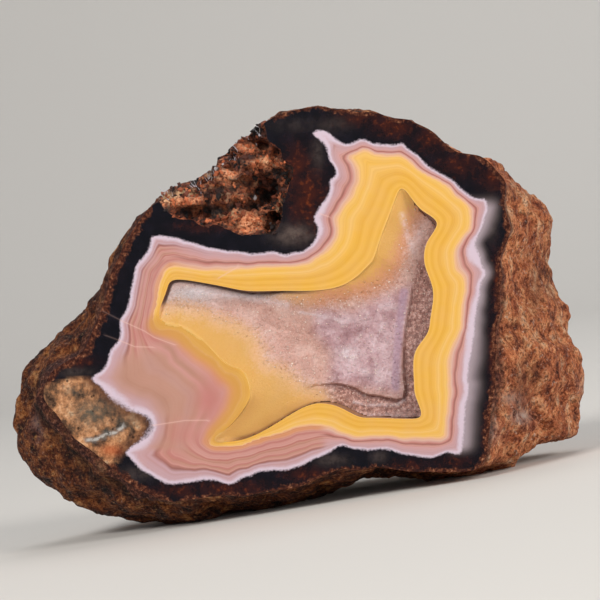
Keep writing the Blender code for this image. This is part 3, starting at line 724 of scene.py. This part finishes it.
def broken_hollow():
    """Rough hollow: orange lumps painted lighter over dark red brown, black painted shade in
    holes.
    """
    s = Shader("broken_hollow")
    grain = s.noise(1.9, 5.0, 0.72)
    medium = s.noise(0.7, 4.0, 0.65)
    colour = s.ramp(medium, [
        (0.32, (10, 6, 7)), (0.43, (44, 20, 14)), (0.51, (112, 54, 32)),
        (0.59, (180, 98, 60)), (0.7, (222, 158, 118))])
    # Painted highlight: the orange lumps are painted lighter.
    painted_lump_highlight = s.times("lump", s.step(medium, 0.32, 0.52, 0.45, 1.0))
    colour = s.mix(painted_lump_highlight, colour, s.ramp(grain, [
        (0.32, (140, 64, 36)), (0.43, (222, 120, 72)), (0.54, (242, 166, 118)),
        (0.66, (250, 216, 182))]))
    creamy = s.times("cream", s.step(medium, 0.4, 0.56))
    colour = s.mix(creamy, colour, (232, 196, 150))
    colour = s.mix(s.step(grain, 0.36, 0.52, 0.8, 0.0), colour, (70, 40, 34), "MULTIPLY")
    colour = s.mix(s.step(grain, 0.62, 0.74, 0.0, 0.4), colour, (206, 160, 140))
    # Painted shade: the holes are painted near black.
    colour = s.mix("hole", colour, (7, 4, 5))
    crumb = s.attribute("tone")
    crumbs = s.ramp(crumb, [
        (0.1, (24, 12, 11)), (0.24, (112, 54, 34)), (0.38, (222, 122, 76)),
        (0.54, (244, 172, 126)), (0.76, (248, 220, 176)), (1.0, (222, 222, 238))])
    colour = s.mix(s.step(crumb, 0.02, 0.05), colour, crumbs)
    s.bump(s.plus(grain, medium), 0.5, 0.9)
    return s.finish(colour, s.step(grain, 0.3, 0.7, 0.75, 0.4), 0.45)


def in_face_frame(node):
    """A CAD node's mesh in the frame of the cut face, in millimetres."""
    bm = bmesh.new()
    bm.from_mesh(frame["nodes"][node].data)
    bm.transform(Matrix.Scale(1 / MM, 4) @ STANCE.inverted())
    bmesh.ops.remove_doubles(bm, verts=bm.verts, dist=1e-4)
    return bm


def smoothed(bm, levels):
    """The mesh after that many rounds of subdivision, its open edges kept in their plane."""
    mesh = bpy.data.meshes.new("coarse")
    bm.to_mesh(mesh)
    bm.free()
    coarse = new_object("coarse", mesh)
    subdivide = coarse.modifiers.new("smooth", "SUBSURF")
    subdivide.levels = levels
    subdivide.render_levels = levels
    graph = bpy.context.evaluated_depsgraph_get()
    fine = bpy.data.meshes.new_from_object(coarse.evaluated_get(graph))
    bpy.data.objects.remove(coarse)
    made = bmesh.new()
    made.from_mesh(fine)
    bpy.data.meshes.remove(fine)
    return made


RIND, HOLLOW_ZONE, POCKET_ZONE, FACE_ZONE = range(4)


def zones_of(points):
    """The zone that each point (u, w, v) behind the cut plane belongs to."""
    flat = points[:, [0, 2]]
    zone = np.zeros(len(points), int)
    zone[(distance_to(flat, HOLLOW) > -0.05) & (points[:, 1] < HOLLOW_REACH)] = HOLLOW_ZONE
    zone[(distance_to(flat, YELLOW_EDGE) > 0.0) & (points[:, 1] < POCKET_FLOOR)] = POCKET_ZONE
    return zone


def look_behind(tree, u, v):
    """Where a ray straight through the cut plane first meets the tree: place and normal."""
    return tree.ray_cast(Vector((u, -1.0, v)), Vector((0.0, 1.0, 0.0)))[:2]


def centres_of(faces):
    return np.array([f.calc_center_median() for f in faces])


def open_shell():
    """The stone without its cut face, subdivided, each face marked with its zone."""
    bm = in_face_frame("agate_nodule")
    for vertex in bm.verts:
        if abs(vertex.co.y) < PLANE_REACH:
            vertex.co.y = 0.0
    cut = [f for f in bm.faces if all(v.co.y == 0.0 for v in f.verts)]
    bmesh.ops.delete(bm, geom=cut, context="FACES")
    for face, zone in zip(bm.faces, zones_of(centres_of(bm.faces))):
        face.material_index = int(zone)
    return smoothed(bm, 2)


def roughness_at(co, zone):
    """How far a point of the stone stands out, in millimetres."""
    if zone == POCKET_ZONE:
        return 0.05 * noise.noise(co / 0.9)
    fine = noise.noise(co / 0.75)
    coarse = noise.noise(co / 1.9 + Vector((5.0, 2.0, 9.0)))
    if zone == HOLLOW_ZONE:
        spot = np.array([[co.x, co.z]])
        relief = LUMP_HEIGHT * patches(spot, PATCHES["lump"])[0]
        relief -= HOLE_DEPTH * patches(spot, PATCHES["hole"])[0]
        ridged = 1.0 - 3.0 * abs(noise.noise(co / 1.7))
        return relief + 0.3 * fine + 0.7 * ridged + 0.4 * coarse - 0.4
    pit = max(0.0, 1.0 - noise.voronoi(co / 3.1)[0][0] / 0.3)
    big = noise.noise(co / 4.6 + Vector((1.0, 7.0, 3.0)))
    for u, w, v, wide, depth in RIND_PITS:
        away = (co - Vector((u, w, v))).length / wide
        pit += depth / PIT_DEPTH * math.exp(-(away**2))
    rough = 0.22 * fine + 0.42 * coarse + 0.6 * big - PIT_DEPTH * pit
    ridge = 0.5 * math.exp(-((co.y - 0.8) / 0.6) ** 2)
    groove = 0.7 * math.exp(-((co.y - 2.6) / 0.9) ** 2)
    return rough + float(lower_left(co.x, co.z)) * (ridge - groove)


def lower_left(u, v):
    """1 along the cut's edge at the lower left, where a lumpy ridge and a groove follow it."""
    return ease(-17.0, -22.0, u) * ease(22.0, 17.0, v)


def roughen(bm):
    """Moves the shell's points along their normals, but not the cut's edge or the rest spot."""
    bm.normal_update()
    moves = []
    for vertex in bm.verts:
        zone = max(f.material_index for f in vertex.link_faces)
        fade = float(ease(0.0, 1.2, vertex.co.y))
        moves.append(vertex.normal * (fade * roughness_at(vertex.co, zone)))
    for vertex, move in zip(bm.verts, moves):
        on_rest = (STANCE @ (vertex.co * MM)).z < REST_ZONE * MM
        if not on_rest:
            vertex.co += move
        floor = (STANCE @ (vertex.co * MM)).z
        if floor < 0.0:
            vertex.co -= STANCE.to_3x3().inverted() @ Vector((0.0, 0.0, floor / MM))


def rim_loops(bm):
    """The shell's open edges as loops of vertices, the longest first."""
    onward = {}
    for edge in bm.edges:
        if edge.is_boundary:
            a, b = edge.verts
            onward.setdefault(a, []).append(b)
            onward.setdefault(b, []).append(a)
    loops, seen = [], set()
    for start in onward:
        if start in seen:
            continue
        loop, previous, here = [start], None, start
        seen.add(start)
        while True:
            ahead = [v for v in onward[here] if v is not previous and v not in seen]
            if not ahead:
                break
            previous, here = here, ahead[0]
            seen.add(here)
            loop.append(here)
        loops.append(loop)
    return sorted(loops, key=len, reverse=True)


def lattice(low, high, spacing):
    """Points of a triangular lattice."""
    row = spacing * math.sqrt(3) / 2
    points = []
    for j in range(int((high[1] - low[1]) / row) + 1):
        shift = 0.5 * spacing * (j % 2)
        across = np.arange(low[0] + shift, high[0], spacing)
        points.append(np.column_stack([across, np.full(len(across), low[1] + j * row)]))
    return np.vstack(points)


def beside(line, offsets, step=0.22):
    """Points along a line and at these distances to either side of it."""
    out = []
    for a, b in zip(np.array(line, float), np.array(line, float)[1:]):
        along = b - a
        across = np.array([-along[1], along[0]]) / np.hypot(*along)
        count = max(2, int(np.hypot(*along) / step))
        for t in np.linspace(0.0, 1.0, count, endpoint=False):
            out += [a + along * t + across * offset for offset in offsets]
    return np.array(out)


def face_points(outer, pocket):
    """Points inside the cut face, closer together along the cracks."""
    grid = lattice(outer.min(0), outer.max(0), FACE_SPACING)
    fine = CRACKS + VEINS
    cracks = np.vstack([beside(c, (-0.28, -0.1, 0.0, 0.1, 0.28)) for c in fine])
    points = np.vstack([grid[away_from(grid, *fine) > 0.42], cracks])
    inside = distance_to(points, outer) > 0.3 * FACE_SPACING
    outside = distance_to(points, pocket) < -0.3 * FACE_SPACING
    return points[inside & outside]


def fill_face(bm):
    """Closes the shell with the flat face, and returns the outlines of its rim and pocket."""
    loops = rim_loops(bm)[:2]
    outer, pocket = (np.array([(v.co.x, v.co.z) for v in loop]) for loop in loops)
    inner = face_points(outer, pocket)
    points = [Vector(p) for p in np.vstack([outer, pocket, inner])]
    n, m = len(outer), len(pocket)
    edges = [(i, (i + 1) % n) for i in range(n)]
    edges += [(n + i, n + (i + 1) % m) for i in range(m)]
    places, _, faces, sources, _, _ = geometry.delaunay_2d_cdt(points, edges, [], 0, 1e-7)
    rim_vertices = loops[0] + loops[1]
    made = []
    for place, source in zip(places, sources):
        on_rim = [rim_vertices[i] for i in source if i < n + m]
        made.append(on_rim[0] if on_rim else bm.verts.new((place.x, 0.0, place.y)))
    centres = np.array([sum((places[i] for i in f), Vector((0, 0))) / 3 for f in faces])
    keep = (distance_to(centres, outer) > 0) & (distance_to(centres, pocket) < 0)
    for face, kept in zip(faces, keep):
        if kept:
            bm.faces.new([made[i] for i in face]).material_index = FACE_ZONE
    loose = [v for v in bm.verts if not v.link_faces]
    bmesh.ops.delete(bm, geom=loose, context="VERTS")
    return outer, pocket


def store(mesh, **values):
    """Gives the mesh's points these numbers, each under its name."""
    for name, numbers in values.items():
        made = mesh.attributes.new(name, "FLOAT", "POINT")
        made.data.foreach_set("value", np.asarray(numbers, np.float32))


def pocket_attributes(mesh, flat, into):
    """What pocket_colours needs, on the stone and on the druse alike."""
    u, v = flat.T
    # Painted shadow lines: along the pocket's lower rim, and under its upper left rim.
    lower = ease(-10.0, -8.0, u) * ease(18.4, 17.4, v)
    lower *= ease(0.9, 1.8, away_from(flat, RAMPS[0][0]))
    upper = ease(29.4, 30.4, v) * ease(4.0, -2.0, u)
    # Where the low slope is darkened as painted shade.
    low = ease(19.0, 15.5, v) * ease(5.0, 1.0, u)
    store(
        mesh,
        into=np.maximum(into, 0.0),
        lilac=distance_to(flat, SLOPE_FOOT),
        purple=distance_to(flat, PURPLE),
        strip=0.8 * ease(0.75, 0.3, away_from(flat, PURPLE_STRIP)),
        ash=patches(flat, ASH_PATCHES),
        warm=ease(27.5, 30.0, v) * ease(-3.0, 4.0, u),
        lower=0.7 * lower * ease(0.75, 0.3, into),
        upper=0.85 * upper * ease(0.5, 0.25, into),
        dusk=0.45 * low * ease(2.4, 0.0, into),
    )


def band_attributes(mesh, flat, white, yellow, into):
    """Where each point lies among the bands: 1 at the white edge, 2 at the yellow, 3 inside."""
    between = 1 + white / np.maximum(white - yellow, 1e-6)
    within = 2 + yellow / np.maximum(yellow - into, 1e-6)
    band = np.where(yellow < 0, between, within)
    gap = np.abs(white) + np.abs(yellow)
    limit = np.clip(0.15 * gap, 0.32, 0.55) + 0.9 * patches(flat, HAZE_PATCHES)
    store(
        mesh,
        band=np.where(into > 0, 3.0, band),
        gap=np.minimum(gap, 5.2 + 10.0 * ease(9.0, 12.5, flat[:, 1])),
        white=white,
        frost=white / limit,
        blush=0.75 * ease(2.0, 0.4, away_from(flat, SOFT_LINE)),
    )


def rim_attributes(mesh, flat, white, rim):
    """The dark rim, the inclusion in it, and the cracks."""
    u, v = flat.T
    wide_crust = 0.6 * ease(-17.0, -23.0, u) + 0.3 * ease(22.0, 25.0, u)
    right = ease(19.0, 21.5, u) * ease(8.6, 10.5, v) * ease(44.0, 41.5, v)
    reach = 1.6 + 1.2 * ease(30.0, 20.0, v) + 0.8 * ease(36.5, 39.0, v)
    vein = away_from(flat, *VEINS)
    crack = away_from(flat, *CRACKS)
    store(
        mesh,
        rim=rim - wide_crust + 3.0 * ease(-1.6, -0.5, distance_to(flat, HOLLOW)),
        haze=0.9 * right * ease(1.0, 0.0, -white / reach),
        inclusion=ease(-0.3, 0.3, distance_to(flat, INCLUSION)),
        scorched=0.8 * ease(-1.9, -0.1, white),
        vein=0.75 * ease(0.36, 0.1, vein),
        vein_edge=0.55 * ease(0.55, 0.22, vein),
        crack=np.where(white > 0, 0.55, 0.12) * np.exp(-((crack / CRACK_WIDTH) ** 2)),
    )


def rind_attributes(mesh, points):
    """The rind's two colours, what follows the cut's edge on it, and painted shade in the
    groove.
    """
    u, w, v = points.T
    back = 0.15 + 0.75 * ease(-6.0, 34.0, u)
    behind = ease(10.0, 22.0, w)
    edge = ease(-14.0, -20.0, u) + ease(22.0, 25.0, u)
    reach = np.where(u > 0.0, 1.2, 1.9)
    store(
        mesh,
        orange=(1.3 * ease(8.0, 22.0, u) - 0.3) * (1.0 - behind) + back * behind,
        bruise=0.8 * edge * ease(1.0, 0.35, w / reach),
        groove=0.7 * lower_left(u, v) * np.exp(-(((w - 2.9) / 0.8) ** 2)),
    )


def face_attributes(mesh, points, outer, pocket):
    """What the shaders need to know about each point (u, w, v) of the stone."""
    flat = points[:, [0, 2]]
    u, v = flat.T
    moved = wobbled(flat)
    white = distance_to(moved, round_curve(WHITE_EDGE))
    yellow = distance_to(moved, round_curve(YELLOW_EDGE))
    into = distance_to(flat, pocket)
    band_attributes(mesh, flat, white, yellow, into)
    rim_attributes(mesh, flat, white, distance_to(flat, outer))
    pocket_attributes(mesh, flat, into)
    rind_attributes(mesh, points)
    store(mesh, **{name: patches(flat, spots) for name, spots in PATCHES.items()})
    top = ease(29.0, 31.5, v) * ease(3.0, -1.0, u)
    left = ease(-15.0, -17.0, u) * ease(29.0, 30.5, v)
    store(mesh, shaded=np.maximum(np.maximum(top, left), ease(14.6, 15.6, u)))


def new_object(name, data):
    """A new object in the scene."""
    made = bpy.data.objects.new(name, data)
    bpy.context.scene.collection.objects.link(made)
    return made


def as_object(bm, name):
    """An object that holds the mesh, scaled to metres and standing as the stone does."""
    mesh = bpy.data.meshes.new(name)
    places = np.array([v.co for v in bm.verts])
    bm.transform(STANCE @ Matrix.Scale(MM, 4))
    bm.to_mesh(mesh)
    bm.free()
    mesh.attributes.new("place", "FLOAT_VECTOR", "POINT").data.foreach_set(
        "vector", places.astype(np.float32).ravel()
    )
    mesh.shade_smooth()
    return new_object(name, mesh)


def crumb_sites(tree):
    """Places for crumbs in the hollow: (place, surface normal, tone, random numbers)."""
    rng = np.random.default_rng(CRYSTAL_SEED + 1)
    line = np.array(HOLLOW)
    grid = lattice(line.min(0), line.max(0), CRUMB_SPACING)
    grid = grid + rng.uniform(-0.5, 0.5, grid.shape) * CRUMB_SPACING
    grid = grid[distance_to(grid, line) > -0.1]
    lump, hole, cream = (patches(grid, PATCHES[name]) for name in ("lump", "hole", "cream"))
    for k, (u, v) in enumerate(grid):
        place, normal = look_behind(tree, u, v)
        if place is None or rng.random() < 0.4 + 0.7 * hole[k] - 0.2 * lump[k]:
            continue
        blotch = 0.5 + 1.1 * noise.noise(Vector((u, v, 3.0)) / 1.5)
        # Painted highlight: crumbs on the lumps are painted lighter.
        tone = 0.26 * blotch + 0.42 * lump[k] + 0.4 * cream[k] * blotch
        tone += rng.uniform(-0.06, 0.06)
        if rng.random() < 0.008:
            tone = 0.93
        yield place, normal, float(np.clip(tone, 0.08, 1.0)), rng


def add_crumb(bm, place, normal, rng):
    """A small faceted lump of seven points, half sunk in the surface."""
    size = rng.uniform(*CRUMB_SIZE) * (1.0 + 1.6 * rng.random() ** 4)
    axis = (normal + Vector(rng.uniform(-1.0, 1.0, 3))).normalized()
    side = axis.orthogonal().normalized()
    across = axis.cross(side)
    heart = place + normal * (0.2 * size)
    top = bm.verts.new(heart + axis * size * rng.uniform(0.5, 1.1))
    bottom = bm.verts.new(heart - axis * size)
    ring = []
    for k in range(5):
        angle = 2.0 * math.pi * (k + rng.uniform(-0.25, 0.25)) / 5
        out = side * math.cos(angle) + across * math.sin(angle)
        ring.append(bm.verts.new(
            heart + (out * rng.uniform(0.7, 1.5) + axis * rng.uniform(-0.3, 0.4)) * size))
    for a, b in zip(ring, ring[1:] + ring[:1]):
        bm.faces.new((a, b, top))
        bm.faces.new((b, a, bottom))
    return [top, bottom, *ring]


def add_fibre(bm, foot, rng):
    """A thin curved hair, three-sided."""
    lean = Vector((rng.uniform(-0.9, 0.3), rng.uniform(-0.5, 0.5), rng.uniform(0.3, 1.0)))
    bend = Vector(rng.uniform(-0.3, 0.3, 3))
    length = rng.uniform(0.4, 1.7)
    side = lean.orthogonal().normalized()
    across = lean.cross(side).normalized()
    rings = []
    for k in range(4):
        t = k / 3
        spot = foot + (lean * t + bend * t * t) * length
        thick = FIBRE_RADIUS * (1.2 - t)
        rings.append([
            bm.verts.new(spot + (side * math.cos(a) + across * math.sin(a)) * thick)
            for a in (0.0, 2.1, 4.2)
        ])
    for low, high in zip(rings, rings[1:]):
        for k in range(3):
            bm.faces.new((low[k], low[(k + 1) % 3], high[(k + 1) % 3], high[k]))
    bm.faces.new(rings[0][::-1])
    bm.faces.new(rings[-1])
    return [vertex for ring in rings for vertex in ring]


def add_crumbs(bm, tree):
    """Strews the hollow with crumbs and fibres, and returns the tone of each new vertex."""
    tones = []
    for place, normal, tone, rng in list(crumb_sites(tree)):
        tones += [tone] * len(add_crumb(bm, place, normal, rng))
    rng = np.random.default_rng(CRYSTAL_SEED + 2)
    for u, v, w in TUFTS:
        for _ in range(FIBRES_PER_TUFT):
            spread = rng.normal(0.0, 0.45, 3)
            foot = tree.find_nearest(Vector((u, w, v)) + Vector(spread))[0]
            tones += [float(rng.uniform(0.9, 1.0))] * len(add_fibre(bm, foot, rng))
    return tones


def make_stone():
    """The whole stone, and the outline of its pocket's rim."""
    bm = open_shell()
    roughen(bm)
    outer, pocket = fill_face(bm)
    bmesh.ops.recalc_face_normals(bm, faces=bm.faces[:])
    for edge in bm.edges:
        zones = {f.material_index for f in edge.link_faces}
        if FACE_ZONE in zones and len(zones) > 1:
            edge.smooth = False
    tree = bvhtree.BVHTree.FromBMesh(bm)
    bare = len(bm.verts)
    old_faces = len(bm.faces)
    tones = [0.0] * bare + add_crumbs(bm, tree)
    bm.faces.ensure_lookup_table()
    for face in bm.faces[old_faces:]:
        face.material_index = HOLLOW_ZONE
        for edge in face.edges:
            edge.smooth = False
    points = np.array([v.co for v in bm.verts])
    stone = as_object(bm, "agate_stone")
    face_attributes(stone.data, points, outer, pocket)
    store(stone.data, tone=tones)
    for material in (weathered_rind(), broken_hollow(), pocket_wall(), polished_face()):
        stone.data.materials.append(material)
    return stone, pocket, tree


def depths_behind(flat, tree):
    """How deep the first surface behind each point of the cut plane lies, or -1."""
    depths = np.full(len(flat), -1.0)
    for k, (u, v) in enumerate(flat):
        hit = look_behind(tree, u, v)[0]
        if hit:
            depths[k] = hit.y
    return depths


def rim_beside(pocket, line):
    """The stretch of the pocket's outline that runs beside the line."""
    near = away_from(pocket, line) < RIM_REACH
    start = int(np.argmin(near))
    return np.roll(pocket, -start, 0)[np.roll(near, -start)]


def druse_depth(flat, pocket):
    """How deep the druse's top lies below the cut at each point."""
    u, v = flat.T
    foot = distance_to(flat, SLOPE_FOOT)
    lean = ease(34.5, 30.0, v) * ease(-1.0, 3.0, u)
    plate = ease(-0.15, 0.15, distance_to(flat, round_curve(PLATE)))
    depth = LEDGE_DEPTH - PLATE_RISE * plate * lean
    depth -= 0.4 * ease(3.0, -1.0, u)
    depth -= 1.3 * ease(-5.0, -16.0, u)
    depth -= 0.9 * ease(0.5, -3.5, foot)
    depth -= 0.7 * ease(28.5, 31.0, v) * ease(5.0, -1.0, u)
    for line, wide, high, _ in RIDGES:
        depth -= high * np.exp(-((away_from(flat, line) / wide) ** 2))
    for line, slope in RAMPS:
        ramp = 0.1 + slope * away_from(flat, rim_beside(pocket, line))
        depth = np.minimum(depth, ramp) - 0.25 * np.exp(-((depth - ramp) / 0.5) ** 2)
    grainy = ease(-1.5, 1.0, foot)
    for k, (x, y) in enumerate(flat):
        fine = noise.noise(Vector((x / 0.42, y / 0.42, 2.0)))
        broad = noise.noise(Vector((x / 2.4, y / 3.4, 5.0)))
        depth[k] -= grainy[k] * 0.09 * fine + 0.16 * broad
    return depth


def druse_sheet(pocket, stone_tree):
    """The druse as one closed body: a fine sheet on top, and its foot sunk in the stone."""
    low, high = pocket.min(0), pocket.max(0)
    across = np.arange(low[0] - 0.5, high[0] + 0.5, DRUSE_SPACING)
    up = np.arange(low[1] - 0.5, high[1] + 0.5, DRUSE_SPACING)
    flat = np.stack(np.meshgrid(across, up, indexing="ij"), 2).reshape(-1, 2)
    into = distance_to(flat, pocket)
    depth = druse_depth(flat, pocket)
    floor = np.where(into > 0.1, depths_behind(flat, stone_tree), -1.0)
    floor[(into > -0.4) & (into <= 0.1)] = depth.max() + 0.1
    bm = bmesh.new()
    top = {k: bm.verts.new((flat[k][0], depth[k], flat[k][1]))
           for k in np.flatnonzero(depth < floor + DRUSE_OVERLAP)}
    for k in list(top):
        square = (k, k + len(up), k + len(up) + 1, k + 1)
        if all(corner in top for corner in square):
            bm.faces.new([top[corner] for corner in square])
    below = {(top[k].co.x, top[k].co.z): floor[k] + 2.0 * DRUSE_OVERLAP for k in top}
    bmesh.ops.delete(bm, geom=[v for v in bm.verts if not v.link_faces], context="VERTS")
    made = bmesh.ops.extrude_face_region(bm, geom=bm.faces[:], use_keep_orig=True)
    for part in made["geom"]:
        if isinstance(part, bmesh.types.BMVert):
            part.co.y = below[(part.co.x, part.co.z)]
    bmesh.ops.recalc_face_normals(bm, faces=bm.faces[:])
    return bm


def crystal_sites(pocket, druse_tree, stone_tree):
    """Places for crystals on the druse: (place, surface normal, random numbers)."""
    rng = np.random.default_rng(CRYSTAL_SEED)
    grid = lattice(pocket.min(0), pocket.max(0), CRYSTAL_SPACING)
    grid = grid + rng.uniform(-0.45, 0.45, grid.shape) * CRYSTAL_SPACING
    grid = grid[distance_to(grid, pocket) > 0.4]
    foot = distance_to(grid, SLOPE_FOOT)
    smooth = away_from(grid, PURPLE_STRIP) < 0.6
    for k, (u, v) in enumerate(grid):
        chance = 0.25 if smooth[k] else float(ease(-1.2, 0.8, foot[k])) * 0.9
        if rng.random() > chance:
            continue
        place, normal = look_behind(druse_tree, u, v)
        if place is not None and place.y < look_behind(stone_tree, u, v)[0].y:
            yield place, normal, rng


def add_crystal(bm, place, normal, width, height, rng):
    """A six-sided crystal point with its foot sunk in the surface."""
    lean = Vector(rng.uniform(-0.55, 0.55, 3))
    axis = (normal + lean).normalized()
    side = axis.orthogonal().normalized()
    across = axis.cross(side)
    turn = rng.uniform(0.0, math.pi)
    tip = bm.verts.new(place + axis * height)
    ring = []
    for k in range(6):
        angle = turn + k * math.pi / 3
        reach = width * rng.uniform(0.8, 1.15)
        foot = place - axis * 0.1 + (side * math.cos(angle) + across * math.sin(angle)) * reach
        ring.append(bm.verts.new(foot))
    for a, b in zip(ring, ring[1:] + ring[:1]):
        bm.faces.new((a, b, tip))
    bm.faces.new(ring[::-1])


def druse_attributes(mesh, flat):
    """Brown druse beside the plate, partly painted shade, a painted shadow at its edge, pale
    spots.
    """
    u, v = flat.T
    plate = distance_to(flat, round_curve(PLATE))
    beside_plate = ease(2.0, 5.0, u) * ease(37.0, 33.0, v)
    # How strongly the painted shadow under the plate's edge shows, most at the bottom.
    under = 0.15 + 0.65 * ease(21.0, 17.5, v)
    pale = patches(flat, WHITE_PATCHES)
    for line, wide, _, paleness in RIDGES:
        pale = np.maximum(pale, paleness * np.exp(-((away_from(flat, line) / wide) ** 2)))
    store(
        mesh,
        moat=0.85 * beside_plate * ease(0.1, -0.2, plate),
        crease=under * beside_plate * np.exp(-(((plate + 0.2) / 0.25) ** 2)),
        pale=pale,
    )


def make_druse(pocket, stone_tree):
    """The druse: a sheet over the pocket's floor, with small crystals all over it."""
    bm = druse_sheet(pocket, stone_tree)
    for face in bm.faces:
        face.smooth = True
    tint, glint = [0.0] * len(bm.verts), [0.0] * len(bm.verts)
    tree = bvhtree.BVHTree.FromBMesh(bm)
    for place, normal, rng in list(crystal_sites(pocket, tree, stone_tree)):
        big = rng.random() ** 4
        width, height = (least + more * big for least, more in (CRYSTAL_WIDTH, CRYSTAL_HEIGHT))
        add_crystal(bm, place, normal, width, height, rng)
        tint += [float(np.clip(rng.normal(-0.08, 0.1), 0.0, 0.4))] * 7
        glint += [float(rng.choice((0.0, 0.35, 0.75), p=(0.6, 0.26, 0.14)))] * 7
    points = np.array([v.co for v in bm.verts])
    flat = points[:, [0, 2]]
    druse = as_object(bm, "quartz_druse")
    druse.data.set_sharp_from_angle(angle=math.radians(SHARP_ANGLE))
    pocket_attributes(druse.data, flat, distance_to(flat, pocket))
    druse_attributes(druse.data, flat)
    store(druse.data, tint=tint, glint=glint)
    druse.data.materials.append(druse_sparkle())
    return druse


def make_stage():
    """A pale floor that sweeps up into a pale wall behind the stone."""
    bm = bmesh.new()
    half, near, bend, radius, top = 1.2, -1.2, 0.5, 0.35, 1.4
    profile = [(near, 0.0)]
    for k in range(17):
        angle = k / 16 * math.pi / 2
        profile.append((bend + radius * math.sin(angle), radius * (1 - math.cos(angle))))
    profile.append((bend + radius, top))
    rows = [[bm.verts.new((x, y, z)) for y, z in profile] for x in (-half, half)]
    for k in range(len(profile) - 1):
        bm.faces.new((rows[0][k], rows[1][k], rows[1][k + 1], rows[0][k + 1]))
    mesh = bpy.data.meshes.new("studio_floor")
    bm.to_mesh(mesh)
    bm.free()
    floor = new_object("studio_floor", mesh)
    mesh.shade_smooth()
    s = Shader("studio_paper")
    mesh.materials.append(s.finish((214, 211, 206), 0.9, 0.1))


def add_light(name, place, size, power, colour):
    """A soft square light that points at the stone."""
    light = bpy.data.lights.new(name, "AREA")
    light.size = size
    light.energy = power
    light.color = colour
    lamp = new_object(name, light)
    lamp.location = place
    aim = Vector((0.0, 0.0, 0.025)) - Vector(place)
    lamp.rotation_euler = aim.to_track_quat("-Z", "Y").to_euler()


def light_studio():
    add_light("key", (-0.36, -0.7, 0.64), 0.35, 5.7, (1.0, 0.97, 0.93))
    add_light("side", (0.75, -0.35, 0.38), 0.35, 4.7, (1.0, 0.96, 0.92))
    add_light("fill", (0.55, -0.85, 0.12), 0.4, 1.8, (1.0, 0.98, 0.96))
    add_light("back", (0.1, 0.4, 0.8), 0.5, 2.3, (0.95, 0.97, 1.0))
    world = bpy.data.worlds.new("studio")
    world.use_nodes = True
    world.node_tree.nodes["Background"].inputs[0].default_value = (0.9, 0.93, 1.0, 1.0)
    world.node_tree.nodes["Background"].inputs[1].default_value = 0.2
    bpy.context.scene.world = world
    bpy.context.scene.view_settings.view_transform = "Standard"


def add_camera():
    """The camera, placed in the frame of the cut face as the picture was taken."""
    azimuth, elevation = math.radians(VIEW_AZIMUTH), math.radians(VIEW_ELEVATION)
    target = Vector((VIEW_TARGET[0], 0.0, VIEW_TARGET[1]))
    away = Vector((
        math.sin(azimuth) * math.cos(elevation),
        -math.cos(azimuth) * math.cos(elevation),
        math.sin(elevation),
    ))
    place = target + away * VIEW_DISTANCE
    turn = Euler((math.pi / 2 - elevation, 0.0, azimuth)).to_matrix().to_4x4()
    data = bpy.data.cameras.new("camera")
    data.sensor_width = SENSOR_MM
    data.lens = SENSOR_MM * VIEW_DISTANCE / VIEW_WIDTH
    data.clip_start = 0.01
    camera = new_object("camera", data)
    camera.matrix_world = STANCE @ Matrix.Translation(place * MM) @ turn
    bpy.context.scene.camera = camera


def main():
    stone, pocket, tree = make_stone()
    druse = make_druse(pocket, tree)
    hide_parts("agate_nodule")
    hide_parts("quartz_crust")
    for piece in (stone, druse):
        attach(piece, "root")
    make_stage()
    light_studio()
    add_camera()


main()
